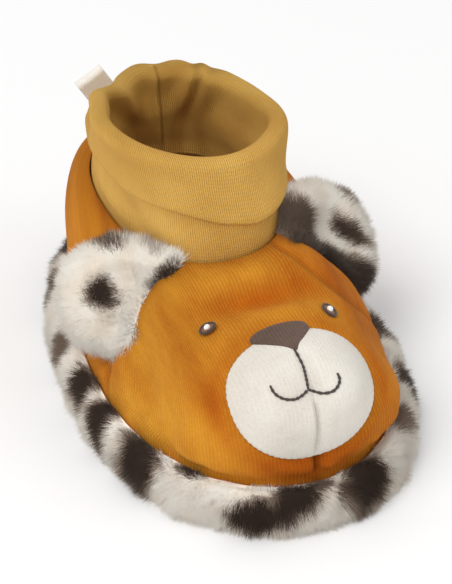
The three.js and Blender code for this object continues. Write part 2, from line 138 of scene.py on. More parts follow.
def full_turn(count):
    """The angles of count even steps round a full turn."""
    return np.arange(count) * 2 * np.pi / count


def half_turn(angle):
    """An angle from -pi to pi, counted from the toe."""
    return (angle + np.pi) % (2 * np.pi) - np.pi


def unit(vectors):
    """Vectors made one long."""
    return vectors / np.maximum(np.linalg.norm(vectors, axis=-1, keepdims=True), 1e-9)


def smooth(value):
    """0 below 0, 1 above 1, and an even S between."""
    t = np.clip(value, 0, 1)
    return t * t * (3 - 2 * t)


def bell(value):
    """A soft bump: 1 at 0, and nearly 0 past 2 on either side."""
    return np.exp(-np.square(value))


def outline_edge(angle):
    """Two half ovals that meet at the ball: x is the half width x (1 - share of reach ^ p) ^ (1 / p)."""
    y = -np.cos(angle) * sole_length / 2
    from_ball = y + ball_set_forward
    front = from_ball < 0
    reach = sole_length / 2 + np.where(front, -ball_set_forward, ball_set_forward)
    power = np.where(front, toe_squareness, heel_squareness)
    share = np.clip(1 - (np.abs(from_ball) / reach) ** power, 0, None)
    return np.stack([np.sign(np.sin(angle)) * share ** (1 / power) * ball_width / 2, y, 0 * y], -1)


def outline_point(angle, inset, up=0.0):
    """The outline moved inwards by inset, square to itself, at the height up."""
    step = 0.02
    along = unit(outline_edge(angle + step) - outline_edge(angle - step))
    point = outline_edge(angle)
    x = point[..., 0] - along[..., 1] * inset
    y = point[..., 1] + along[..., 0] * inset
    return np.stack([x, y, np.zeros_like(x) + up], -1)


def even_angles(count):
    """Angles that step evenly along the outline's edge: the running length, read back as angles."""
    fine = np.linspace(0, 2 * np.pi, 1441)
    steps = np.linalg.norm(np.diff(outline_edge(fine), axis=0), axis=1)
    run = np.concatenate([[0], np.cumsum(steps)])
    return np.interp(np.arange(count) * run[-1] / count, run, fine)


def uneven(points, size, seed):
    """Soft unevenness: the mean of sine waves about size long, in seeded directions through space."""
    rng = np.random.default_rng(seed)
    waves = 7
    ways = rng.normal(size=(waves, 3))
    ways *= (2 * np.pi / (size * rng.uniform(0.7, 1.4, waves)) / np.linalg.norm(ways, axis=1))[:, None]
    return np.sin(points @ ways.T + rng.uniform(0, 2 * np.pi, waves)).mean(-1)


def outward(grid, ring=False):
    """Unit normals of a grid whose rows run round and step up: across times up, by central differences."""
    across = np.roll(grid, -1, 1) - np.roll(grid, 1, 1)
    up = np.roll(grid, -1, 0) - np.roll(grid, 1, 0)
    if not ring:
        up[0], up[-1] = grid[1] - grid[0], grid[-1] - grid[-2]
    return unit(np.cross(across, up))


def mesh_piece(name, points, quads, threes, finish, corners_uv=None, marks=None):
    """An object with its place in its mesh, from points in millimetres and arrays of corners."""
    mesh = bpy.data.meshes.new(name)
    mesh.vertices.add(len(points))
    mesh.vertices.foreach_set("co", (points * 0.001).astype(np.float32).ravel())
    corners = np.concatenate([quads.ravel(), threes.ravel()]).astype(np.int32)
    sizes = np.concatenate([np.full(len(quads), 4), np.full(len(threes), 3)])
    mesh.loops.add(len(corners))
    mesh.loops.foreach_set("vertex_index", corners)
    mesh.polygons.add(len(sizes))
    mesh.polygons.foreach_set("loop_start", (np.cumsum(sizes) - sizes).astype(np.int32))
    mesh.update(calc_edges=True)
    mesh.polygons.foreach_set("use_smooth", np.ones(len(sizes), bool))
    if corners_uv is not None:
        mesh.uv_layers.new(name="Cloth").data.foreach_set("uv", corners_uv.astype(np.float32).ravel())
    for mark, values in (marks or {}).items():
        kind = "FLOAT_COLOR" if values.ndim > 1 else "FLOAT"
        layer = mesh.attributes.new(mark, kind, "POINT").data
        layer.foreach_set("color" if values.ndim > 1 else "value", values.astype(np.float32).ravel())
    mesh.materials.append(finish)
    mesh.validate()
    piece = bpy.data.objects.new(name, mesh)
    bpy.context.collection.objects.link(piece)
    return piece


def skin(name, grid, finish, ring=False, marks=None, cloth=None):
    """A closed smooth surface over a grid [row, place round, xyz]. With ring the last row joins the first;
    otherwise each end row closes on its own middle. The UV map holds metres round from the grid's first
    column, to either side, and metres up, measured on the cloth grid where one is given."""
    cloth = grid if cloth is None else cloth
    rows, cols = grid.shape[:2]
    index = np.arange(rows * cols).reshape(rows, cols)
    j = np.arange(rows if ring else rows - 1)[:, None]
    i = np.arange(cols)[None, :]
    j1, i1 = (j + 1) % rows, (i + 1) % cols
    quads = np.stack([index[j, i], index[j, i1], index[j1, i1], index[j1, i]], -1).reshape(-1, 4)
    wide = np.linalg.norm(np.roll(cloth, -1, 1) - cloth, axis=-1)
    round_way = np.concatenate([np.zeros((rows, 1)), np.cumsum(wide, 1)], 1)
    tall = np.linalg.norm(np.roll(cloth, -1, 0) - cloth, axis=-1).mean(1)
    up_way = np.concatenate([[0], np.cumsum(tall)])
    cell = [(j, i), (j, i + 1), (j1, i + 1), (j1, i)]
    back = np.where(i >= cols // 2, 1, 0)
    uv = []
    for b, a in cell:
        level = up_way[np.where(b < j, j + 1, b)]
        uv.append(np.stack([round_way[b, a] - back * round_way[b, cols], level + 0 * a], -1))
    uv = np.stack(uv, 2).reshape(-1, 2)
    points = grid.reshape(-1, 3)
    marks = {mark: values.reshape(rows * cols, *values.shape[2:]) for mark, values in (marks or {}).items()}
    threes = np.zeros((0, 3), int)
    if not ring:
        ends = grid[[0, -1]].mean(1)
        points = np.concatenate([points, ends])
        a, b = index[0], index[-1]
        low = np.stack([np.full(cols, rows * cols), np.roll(a, -1), a], -1)
        high = np.stack([np.full(cols, rows * cols + 1), b, np.roll(b, -1)], -1)
        threes = np.concatenate([low, high])
        fan = np.zeros((3 * cols, 2))
        uv = np.concatenate([uv, fan, fan + [0, up_way[-1]]])
        for mark, values in marks.items():
            both = values.reshape(rows, cols, -1)[[0, -1]].mean(1).reshape(2, *values.shape[1:])
            marks[mark] = np.concatenate([values, both])
    return mesh_piece(name, points, quads, threes, finish, uv * 0.001, marks)


def panel(inset, bottom, thickness, crown):
    """A padded panel: rows from its middle underneath, round a rolled edge, to its middle on top. Its top
    rises by crown x (1 - share of the way out squared)."""
    flat_rows, edge_rows, edge_reach = 26, 13, thickness * 0.4
    flat, none = np.linspace(0.04, 0.96, flat_rows), np.zeros(flat_rows)
    edge = np.linspace(-np.pi / 2, np.pi / 2, edge_rows)
    out = np.concatenate([flat, np.ones(edge_rows), np.linspace(0.96, 0.04, flat_rows)])
    roll = np.concatenate([none, np.cos(edge), none]) * edge_reach
    high = np.concatenate([none, 0.5 + 0.5 * np.sin(edge), np.ones(flat_rows)])
    rim = outline_point(even_angles(180), inset + edge_reach)[None]
    grid = rim * out[:, None, None] + unit(rim) * roll[:, None, None]
    lift = crown * (1 - np.square(out)) * (high > 0.5)
    grid[..., 2] = bottom + thickness * high[:, None] + lift[:, None]
    return grid


def group_of(name, inputs, outputs):
    """A new node group: the group, what it is given and what it gives. Places and colours go by name."""
    group = bpy.data.node_groups.new(name, "ShaderNodeTree")
    kinds = {"Vector": "Vector", "Dark": "Color", "Light": "Color", "Color": "Color"}
    for way, sockets in (("INPUT", inputs), ("OUTPUT", outputs)):
        for socket in sockets:
            kind = "NodeSocket" + kinds.get(socket, "Float")
            group.interface.new_socket(socket, in_out=way, socket_type=kind)
    return group, group.nodes.new("NodeGroupInput").outputs, group.nodes.new("NodeGroupOutput").inputs


def blend(tree, share, first, second, kind="MIX"):
    """The colour that lies the share of the way from the first to the second."""
    inputs = {0: share, 6: first, 7: second}
    return node(tree, "Mix", inputs, data_type="RGBA", blend_type=kind).outputs[2]


def mark_of(tree, name, output="Fac"):
    """A mark painted on the mesh's points."""
    return node(tree, "Attribute", attribute_name=name).outputs[output]


def dress(tree, shader, colour, height, depth, strength=1.0):
    """Gives the shader its colour and its bump, depth metres deep."""
    bump = node(tree, "Bump", {"Height": height, "Distance": depth, "Strength": strength})
    tree.links.new(colour, shader.inputs["Base Color"])
    tree.links.new(bump.outputs[0], shader.inputs["Normal"])


def weave_group():
    """Plain weave. Height is sin(u) x sin(v) of the threads, with a fibre noise; Fleck is the noise."""
    group, given, result = group_of("weave", ("Vector", "Thread"), ("Height", "Fleck"))
    split = node(group, "SeparateXYZ", {0: given["Vector"]})
    turn = sum_of(group, "DIVIDE", math.pi, given["Thread"])
    warp = sum_of(group, "SINE", sum_of(group, "MULTIPLY", split.outputs[0], turn))
    weft = sum_of(group, "SINE", sum_of(group, "MULTIPLY", split.outputs[1], turn))
    noise = node(group, "TexNoise", {"Vector": given["Vector"], "Scale": 1400.0, "Detail": 3.0}).outputs[0]
    knot = sum_of(group, "MULTIPLY", warp, weft)
    group.links.new(sum_of(group, "MULTIPLY_ADD", noise, 0.6, knot), result["Height"])
    group.links.new(noise, result["Fleck"])
    return group


weave = weave_group()


def woven(name, dark, light, thread, depth):
    """A woven cloth: two close colours mixed by the fibre noise, and the weave as bump."""
    finish, tree, shader = finish_of(name, 0.92, 0.15, 0.3)
    place = node(tree, "UVMap", uv_map="Cloth").outputs[0]
    cloth = node(tree, "Group", node_tree=weave)
    cloth.inputs["Thread"].default_value = thread
    tree.links.new(place, cloth.inputs["Vector"])
    worn = node(tree, "TexNoise", {"Vector": place, "Scale": 90.0, "Detail": 4.0})
    share = sum_of(tree, "MULTIPLY_ADD", cloth.outputs["Fleck"], 0.6, worn.outputs[0])
    ramp = node(tree, "MapRange", {0: share, 1: 0.55, 2: 1.05})
    colour = blend(tree, ramp.outputs[0], dye(dark), dye(light))
    dress(tree, shader, colour, cloth.outputs["Height"], depth, 0.8)
    return finish


sole_cloth = woven("sole_cloth", "4A2015", "6E3322", 0.0009, 0.00012)
sole_grid = panel(upper_inset, 0.0, outsole_thickness, 0.0)
outsole = skin("outsole_panel", sole_grid, sole_cloth)
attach(outsole, "root")
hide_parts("outsole")


# Insole. A thin padded panel of the same rust-brown cloth, loose inside the upper. Its top is a little
# crowned between its sewn edges.
upper_wall, insole_thickness = 2.2, 3.2
upper_foot = outsole_thickness + seam_gap
insole_cloth = woven("insole_cloth", "431B10", "63291A", 0.0007, 0.0001)
insole_grid = panel(upper_inset + upper_wall + seam_gap, upper_foot, insole_thickness - 0.5, 0.5)
insole = skin("insole_panel", insole_grid, insole_cloth)
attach(insole, "root")
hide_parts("insole")


# Plush band. A strip of long-haired leopard plush, cream with dark brown spots, sewn round the sole over
# a soft roll. The hairs are one mesh of fine spikes for each half of the band, and lean outwards.
band_section = np.array(
    [[1, 0], [0.62, 0], [0.36, 0.12], [0.26, 0.38], [0.3, 0.62], [0.5, 0.82], [0.78, 0.88], [1, 0.82]]
)


def catmull(p0, p1, p2, p3, f):
    """Points the share f of the way from p1 to p2 on a Catmull-Rom curve through four."""
    square, cube = 2 * p0 - 5 * p1 + 4 * p2 - p3, 3 * p1 - p0 - 3 * p2 + p3
    return 0.5 * (2 * p1 + (p2 - p0) * f + square * f**2 + cube * f**3)


def round_section(rows, count):
    """A closed smooth line through the rows: a Catmull-Rom curve, four rows at a time."""
    t = np.arange(count) * len(rows) / count
    k, f = t.astype(int), (t % 1)[:, None]
    return catmull(*(rows[(k + step) % len(rows)] for step in (-1, 0, 1, 2)), f)


def leopard(places, across, spots, seed):
    """How dark the plush is, from 0 to 1: soft ragged ovals at the spots of a chart. A spot is a place
    along, a place across, its two half sizes, its turn in degrees and its darkness."""
    flat = np.stack([places, across, 0 * places], -1)
    rough = 0.3 * uneven(flat, 5.0, seed)
    rough += 0.12 * uneven(flat, 1.6, seed + 1)
    dark = np.zeros_like(places)
    for along, over, half_long, half_wide, turn, depth in spots:
        c, s = math.cos(math.radians(turn)), math.sin(math.radians(turn))
        x = ((places - along) * c + (across - over) * s) / half_long
        y = (-(places - along) * s + (across - over) * c) / half_wide
        reach = np.hypot(x, y) + rough
        dark = np.maximum(dark, depth * (1 - smooth((reach - 0.62) / 0.76)))
    return dark


def coat_colour(dark, places, seed):
    """The plush's colour for a darkness: cream with warm shades, through grey-brown, to dark brown."""
    light, warm, between, brown = (np.array(dye(c)) for c in ("FFFAF0", "F8EDDE", "948070", "3B2E26"))
    shade = (0.5 + 0.8 * uneven(places, 5.0, seed))[..., None]
    pale = light + (warm - light) * np.clip(shade, 0, 1)
    tone = pale + (between - pale) * np.clip(2 * dark, 0, 1)[..., None]
    return tone + (brown - tone) * np.clip(2 * dark - 1, 0, 1)[..., None]


def wheel(side, other, turn):
    """Points of a unit circle round each place, in the plane of two square ways."""
    return side[:, None] * np.cos(turn)[None, :, None] + other[:, None] * np.sin(turn)[None, :, None]


def hairs(name, roots, ways, lengths, bend, width, colours, finish, skin_ways, seed):
    """One mesh of hairs. Each is a closed three-sided spike: three points at its foot, and a tip that its
    way and its bend carry. Its shading normals lean to those of the skin it grows from, as light passes
    through fine hair."""
    rng = np.random.default_rng(seed)
    count = len(roots)
    side = unit(np.cross(ways, rng.normal(size=(count, 3))))
    other = np.cross(ways, side)
    spoke = wheel(side, other, full_turn(3))
    tip = roots + ways * (0.9 * lengths)[:, None] + bend
    foot = (roots - ways * 0.3)[:, None] + spoke * width / 2
    points = np.concatenate([foot, tip[:, None]], 1)
    points[..., 2] = np.maximum(points[..., 2], 0.12)
    sides = np.array([(0, 1, 3), (1, 2, 3), (2, 0, 3), (0, 2, 1)])
    threes = (sides[None] + 4 * np.arange(count)[:, None, None]).reshape(-1, 3)
    marks = {"Coat": np.repeat(colours, 4, axis=0), "Height": np.tile([0.0, 0.0, 0.0, 1.0], count)}
    piece = mesh_piece(name, points.reshape(-1, 3), np.zeros((0, 4), int), threes, finish, None, marks)
    soft = unit(np.concatenate([spoke, ways[:, None]], 1) * 0.2 + skin_ways[:, None] * 0.8)
    piece.data.normals_split_custom_set_from_vertices(soft.reshape(-1, 3).tolist())
    return piece


def let_light_through(tree, shader, share):
    """Lets a share of the light pass that the cloth or hair would keep from what lies behind it."""
    path = node(tree, "LightPath")
    alpha = sum_of(tree, "MULTIPLY_ADD", path.outputs["Is Shadow Ray"], -share, 1.0)
    tree.links.new(alpha, shader.inputs["Alpha"])


def plush_finish(name, let_through):
    """Plush: the colour painted on the hairs, with a little painted shade towards their feet, soft and
    without gloss. A share of the light that would cast a shadow is let through, as fine hairs do."""
    finish, tree, shader = finish_of(name, 0.8, 0.2, 0.1, 0.4, "FFF3E0")
    # Painted shade: the hairs are a little darker towards their feet.
    shade = node(tree, "MapRange", {0: mark_of(tree, "Height"), 3: 0.95, 4: 1.0})
    colour = blend(tree, 1.0, mark_of(tree, "Coat", "Color"), shade.outputs[0], "MULTIPLY")
    tree.links.new(colour, shader.inputs["Base Color"])
    if let_through:
        let_light_through(tree, shader, let_through)
    return finish


def scatter(grid, normals, count, seed, keep=None):
    """Seeded places on a grid, as many to each square millimetre: a cell is drawn by its area, then a
    place inside it. Gives points, normals, and the row and column as fractions."""
    rng = np.random.default_rng(seed)
    wide = np.linalg.norm(np.roll(grid, -1, 1) - grid, axis=-1)[:-1]
    tall = np.linalg.norm(grid[1:] - grid[:-1], axis=-1)
    area = wide * tall if keep is None else wide * tall * keep[:-1]
    cell = rng.choice(area.size, count, p=(area / area.sum()).ravel())
    j, i = np.unravel_index(cell, area.shape)
    v, u = rng.uniform(size=(2, count))
    i1 = (i + 1) % grid.shape[1]

    def at(values):
        low = values[j, i] * (1 - u)[:, None] + values[j, i1] * u[:, None]
        high = values[j + 1, i] * (1 - u)[:, None] + values[j + 1, i1] * u[:, None]
        return low * (1 - v)[:, None] + high * v[:, None]

    return at(grid), unit(at(normals)), j + v, i + u


def sway(points, size, seed):
    """Three unevennesses as one soft push through space."""
    return np.stack([uneven(points, size, seed + k) for k in range(3)], -1)


def grow(name, at, skin_ways, length, bend, dark, rng, seeds, clear=None):
    """Plush on a skin: hairs that stray a little from its normals, in the coat's colours. Clear moves the
    tips off what they lie on."""
    bend = bend + rng.normal(size=at.shape) * 0.3
    ways = unit(skin_ways + rng.normal(size=at.shape) * 0.16)
    straight = ways * (0.9 * length)[:, None]
    if clear:
        bend = clear(at + straight + bend) - at - straight
    tint = coat_colour(dark, at, seeds[0])
    tint[:, :3] *= rng.uniform(0.94, 1.0, len(at))[:, None]
    return hairs(name, at, ways, length, bend, hair_width, tint, plush_hair, skin_ways, seeds[1])


# The chart of the band's spots: degrees round from the toe, row of the section, and half sizes in mm.
band_spots = (
    (-103, 4.6, 4.0, 4.4, 0, 0.7),
    (-87, 5.2, 4.8, 6.0, 10, 1.0),
    (-75, 4.8, 4.4, 7.2, 10, 1.0),
    (-59, 4.5, 6.0, 7.6, 0, 1.0),
    (-43, 6.2, 3.8, 2.6, 0, 1.0),
    (-20, 3.5, 6.4, 3.6, 12, 1.0),
    (-8, 4.9, 6.4, 4.2, 25, 1.0),
    (0, 6.0, 3.4, 2.6, 20, 0.85),
    (15, 4.7, 6.2, 7.6, -15, 1.0),
    (43, 5.4, 3.8, 4.0, 0, 0.6),
    (62, 4.0, 4.6, 5.4, 20, 0.95),
    (80, 5.2, 4.4, 4.0, -15, 0.9),
    (97, 4.0, 4.8, 5.4, 10, 1.0),
    (117, 5.1, 4.2, 4.2, 25, 0.9),
    (136, 4.1, 5.4, 5.8, -20, 1.0),
    (158, 5.0, 4.2, 4.2, 10, 0.9),
    (176, 4.0, 4.8, 5.4, 0, 1.0),
    (-163, 5.1, 4.4, 4.2, -20, 0.9),
    (-144, 4.1, 5.2, 5.8, 20, 1.0),
    (-127, 4.2, 4.2, 5.0, 0, 0.8),
)
run_angles = np.radians(np.linspace(-180, 180, 1441))
run_steps = np.linalg.norm(np.diff(outline_edge(run_angles), axis=0), axis=1)
run_lengths = np.concatenate([[0], np.cumsum(run_steps)])


def run_at(angle):
    """Millimetres along the outline for an angle, counted from the heel."""
    return np.interp(half_turn(angle), run_angles, run_lengths)


row_run, hair_length, hair_width, hair_stray = 2.7, 2.5, 0.2, 0.45
band_steps, half_band_hairs = 56, 45000
band_chart = [(run_at(math.radians(s[0])), s[1] * row_run, *s[2:]) for s in band_spots]
band_angles = even_angles(360)
section = round_section(band_section, band_steps)
section[:, 1] = np.maximum(section[:, 1], 0)
band_grid = np.stack([outline_point(band_angles, i * band_width, u * band_height) for i, u in section])
band_normals = outward(band_grid, ring=True)
step_rows = len(band_section) / band_steps
band_row = np.broadcast_to((np.arange(band_steps) * step_rows)[:, None], band_grid.shape[:2])
lumps = 0.35 * uneven(band_grid, 9.0, 11) * (band_row > 2)
band_grid = band_grid + band_normals * lumps[..., None]
band_run = np.broadcast_to(run_at(band_angles)[None], band_row.shape)
band_dark = leopard(band_run, band_row * row_run, band_chart, 21)
plush = plush_finish("leopard_plush", 0.0)
plush_hair = plush_finish("leopard_plush_hair", 0.97)
band_marks = {"Coat": coat_colour(band_dark, band_grid, 31), "Height": np.ones_like(band_row)}
band_roll = skin("plush_band_roll", band_grid, plush, ring=True, marks=band_marks)
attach(band_roll, "root")
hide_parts("plush_band")

for half, way in (("front", -1), ("back", 1)):
    turned = (np.cos(band_angles) * way < 0)[None, :] & (band_row > 1.55) & (band_row < 6.9)
    at, out, row, column = scatter(band_grid, band_normals, half_band_hairs, 40 + way, turned)
    rng = np.random.default_rng(50 + way)
    angle = np.interp(column, np.arange(361), np.append(band_angles, 2 * np.pi))
    level = row * step_rows
    stray = rng.normal(size=(2, len(at))) * hair_stray
    dark = leopard(run_at(angle) + stray[0], level * row_run + stray[1], band_chart, 21)
    lie = np.stack([uneven(at, 7.0, 60), uneven(at, 7.0, 61), 0.6 * uneven(at, 7.0, 62) - 0.3], -1)
    inner_edge = smooth((level - 5.2) / 1.5)
    length = hair_length * rng.uniform(0.75, 1.2, len(at)) * (1 - 0.5 * inner_edge)
    away = outline_point(angle, -1.0) - outline_point(angle, 0.0)
    bend = 1.3 * lie + 0.55 * sway(at, 1.9, 63) + away * (0.3 + 0.9 * inner_edge)[:, None]
    pile = grow(f"plush_band_pile_{half}", at, out, length, bend, dark, rng, (31, 70))
    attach(pile, "root")


# Upper. Amber velour over a thin padding, sewn from a vamp and a quarter that meet in a seam on each
# side, and stuffed behind the muzzle. The cloth has a fine rib that runs up it.
collar_front, collar_back, collar_width, collar_length = 36.5, 37.0, 35.5, 55.0
collar_from_heel, collar_squareness = 12.5, 2.3
collar_set_back = sole_length / 2 - collar_from_heel - collar_length / 2
muzzle_width, muzzle_height, muzzle_tilt, muzzle_stuffing = 29.5, 24.5, 42.0, 4.5
band_rise = 0.08
# Angle, fullness, swell halfway up and bulge low down, the last two in shares of the ball width.
wall_rows = np.array(
    [
        [0, 3.3, 0, 0],
        [35, 2.1, 0.05, 0.042],
        [62, 1.65, -0.024, 0.01],
        [85, 1.8, 0.012, 0.01],
        [115, 2.8, 0.026, 0],
        [150, 2.8, 0.026, 0],
        [180, 3.2, 0.012, 0],
    ]
)
# Dents and swellings: across, along, up, reach sideways and upwards, reach along, and depth.
soft_forms = (
    (0, -0.42, 0.96, 0.2, 0.085, -0.03),
    (0, -0.26, 1, 0.2, 0.09, 0.012),
    (0.62, -0.71, 0.48, 0.11, 0.11, 0.02),
    (0.75, -0.04, 0.72, 0.3, 0.11, -0.062),
)
muzzle_out = np.array([0, -math.cos(math.radians(muzzle_tilt)), math.sin(math.radians(muzzle_tilt))])
muzzle_up = np.array([0, math.sin(math.radians(muzzle_tilt)), math.cos(math.radians(muzzle_tilt))])
muzzle_middle = np.array([0, -0.402 * sole_length, 0.735 * collar_front])
straight_across = np.array([1.0, 0, 0])


def squared_oval(angle, half_width, half_length, power):
    """An oval with |sin| and |cos| raised to 2 / power, so that more than 2 is fuller at the corners."""
    s, c = np.sin(angle), np.cos(angle)
    x = np.sign(s) * np.abs(s) ** (2 / power) * half_width
    return np.stack([x, -np.sign(c) * np.abs(c) ** (2 / power) * half_length, 0 * s], -1)


def collar_point(angle, inset=0.0):
    """The collar's edge: a squared oval that rises evenly from the instep to the heel."""
    point = squared_oval(angle, collar_width / 2 - inset, collar_length / 2 - inset, collar_squareness)
    back = smooth((point[..., 1] + collar_length / 2) / collar_length)
    point[..., 2] = collar_front + (collar_back - collar_front) * back
    point[..., 1] += collar_set_back
    return point


def wall_row(column, angle):
    """A column of the wall's table at an angle, eased from row to row and the same on both sides."""
    turned = np.degrees(np.abs(half_turn(angle)))
    k = np.clip(np.searchsorted(wall_rows[:, 0], turned), 1, len(wall_rows) - 1)
    low, high = wall_rows[k - 1], wall_rows[k]
    share = smooth((turned - low[..., 0]) / (high[..., 0] - low[..., 0]))
    return low[..., column] + (high[..., column] - low[..., column]) * share


def plain_upper(angle, rise):
    """The plain wall: straight behind the band, then a squared quarter oval from foot to collar. It swells
    outwards by the sine of twice its lift, and bulges low down, over the band."""
    foot, edge = outline_point(angle, upper_inset), collar_point(angle)
    share = np.clip((rise - band_rise) / (1 - band_rise), 0, 1)
    lift = share * np.pi / 2
    power = wall_row(1, angle)
    rolled = smooth(share / 0.1) * (1 - smooth((share - 0.16) / 0.4))
    swell = ball_width * (wall_row(2, angle) * np.sin(2 * lift) + wall_row(3, angle) * rolled)
    c, s = np.cos(lift), np.sin(lift)
    reach = (c**power + s**power) ** (-1 / power)
    away = unit((foot - edge) * [1, 1, 0])
    point = foot + (edge - foot) * (1 - reach * c)[..., None]
    point += away * swell[..., None]
    point[..., 2] = band_height + (edge[..., 2] - band_height) * reach * s
    foot[..., 2] = upper_foot + (band_height - upper_foot) * rise / band_rise
    return np.where((rise <= band_rise)[..., None], foot, point)


def normal_of(form, angle, rise, step=0.004):
    """A form's unit normal: its change with the angle times its change with the rise."""
    across = form(angle + step, rise) - form(angle - step, rise)
    up = form(angle, np.minimum(1, rise + step)) - form(angle, np.maximum(0, rise - step))
    return unit(np.cross(across, up))


def upper_form(angle, rise):
    """The plain wall with the muzzle's stuffing and the soft dents and swellings, each a bell."""
    angle, rise = np.broadcast_arrays(np.asarray(angle, float), np.asarray(rise, float))
    point = plain_upper(angle, rise)
    free = smooth((rise - band_rise) / 0.12) * smooth((1 - rise) / 0.1)
    out = normal_of(plain_upper, angle, rise)
    moved = point.copy()
    for across, along, up, reach, reach_along, depth in soft_forms:
        dx = (np.abs(point[..., 0]) - across * ball_width / 2) / (reach * ball_width)
        dy = (point[..., 1] - along * sole_length / 2) / (reach_along * ball_width)
        dz = (point[..., 2] - up * collar_front) / (reach * ball_width)
        share = np.exp(-(dx * dx + dy * dy + dz * dz)) * free
        moved += out * (depth * ball_width * share)[..., None]
    away = point - muzzle_middle
    spread = np.hypot(away[..., 0] / (muzzle_width / 2), away @ muzzle_up / (muzzle_height / 2))
    near = smooth((away @ muzzle_out + muzzle_height) / (muzzle_height / 2))
    pillow = (1 - smooth((spread - 0.35) / 0.8)) * near * free
    return moved + muzzle_out * (muzzle_stuffing * pillow)[..., None]


# The seam between vamp and quarter: degrees from the toe at each rise, on +X and on -X.
seam_rows = np.array(
    [[0.0, 82, 78], [0.15, 73, 82], [0.4, 60, 80], [0.67, 43, 74], [0.99, 26, 64], [1.0, 26, 64]]
)


def past_seam(angle, rise, height):
    """Millimetres behind the vamp seam, and less than 0 in front of it, measured level round the wall."""
    turned = np.degrees(half_turn(angle))
    left = np.interp(rise, seam_rows[:, 0], seam_rows[:, 1])
    right = np.interp(rise, seam_rows[:, 0], seam_rows[:, 2])
    radius = 32 - 12 * smooth((height - 12) / 26)
    return np.radians(np.abs(turned) - np.where(turned > 0, left, right)) * radius


def upper_creases(angle, rise, point):
    """Troughs and ridges laid along the velour, in millimetres outwards. Each is a bell across
    its line: the seam, the edge round the muzzle, the brow's folds, the toe's dart and the heel seam.
    Then come the gathers over the band, a dent on each side and a soft unevenness."""
    x, y, z = point[..., 0], point[..., 1], point[..., 2]
    free = smooth((rise - band_rise) / 0.05) * smooth((1 - rise) / 0.06)
    behind = past_seam(angle, rise, z)
    depth = 0.25 * bell((behind + 1.9) / 1.4) - 0.5 * bell(behind / 0.7) + 0.15 * bell((behind - 2.2) / 1.6)
    away = point - muzzle_middle
    across, up = away[..., 0], away @ muzzle_up
    spread = np.hypot(across / (muzzle_width / 2), up / (muzzle_height / 2))
    front = smooth((away @ muzzle_out + 14) / 8)
    depth += front * (0.45 * bell((spread - 1.16) / 0.09) - 0.35 * bell((spread - 1.0) / 0.05))
    depth += 0.7 * bell((spread - 1.42) / 0.15) * smooth((up - 4) / 8) * bell(across / 9.5)
    depth -= 1.5 * bell((spread - 1.8) / 0.22) * smooth((up - 8) / 8) * bell(across / 11)
    depth -= 0.6 * bell((across + 18.4 - 0.12 * up) / 2.1) * bell((up - 4) / 7) * (y < 0)
    dart = bell(x / 0.5) * smooth((-up - 8) / 4) * smooth((-y - 40) / 5)
    beside_dart = bell((np.abs(x) - 2.4) / 1.5) * smooth((-up - 10) / 3) * smooth((-y - 40) / 5)
    depth += 0.8 * beside_dart - 1.5 * dart
    depth -= 0.8 * bell(np.abs(x) / 0.6) * (y > 20)
    gathers = np.sin(behind * 0.9 + 2.2 * uneven(point, 12.0, 81)) * bell((rise - band_rise - 0.06) / 0.07)
    depth += 0.26 * gathers * (0.6 + 0.6 * uneven(point, 16.0, 82))
    dimple = np.linalg.norm((point - [-24.6, -23.4, 20.3]) / [3.0, 3.6, 3.0], axis=-1)
    depth -= 0.9 * bell(dimple)
    drawn_in = np.linalg.norm((point - [23.5, -31.0, 27.5]) / [6.0, 9.0, 6.0], axis=-1)
    depth -= 1.3 * bell(drawn_in)
    depth += 0.42 * uneven(point, 17.0, 83) * (1 - 0.6 * front * (spread < 1.2))
    return depth * free


upper_angles = even_angles(376)
outer_rises = np.concatenate([np.linspace(0, band_rise, 5)[:-1], np.linspace(band_rise, 1, 116)])
inner_rises = np.linspace(1, 0, 36)
angle_grid, rise_grid = np.meshgrid(upper_angles, outer_rises)
outer = upper_form(angle_grid, rise_grid)
outer_normals = normal_of(upper_form, angle_grid, rise_grid)
outer_creased = outer + outer_normals * upper_creases(angle_grid, rise_grid, outer)[..., None]
angle_in, rise_in = np.meshgrid(upper_angles, inner_rises)
inner = upper_form(angle_in, rise_in) - normal_of(upper_form, angle_in, rise_in) * upper_wall
edge_mid = (outer_creased[-1] + inner[0]) / 2 + [0, 0, 0.7]
upper_grid = np.concatenate([outer_creased, edge_mid[None], inner])
behind_seam = past_seam(angle_grid, rise_grid, outer[..., 2])
quarter = smooth((behind_seam + 0.2) / 0.6)
# Painted shade: a dark line along the vamp seam.
seam_shade_mark = bell(behind_seam / 0.7)
lining_rows = np.ones((len(inner_rises) + 1, len(upper_angles)))
zeros_in = np.zeros_like(lining_rows)


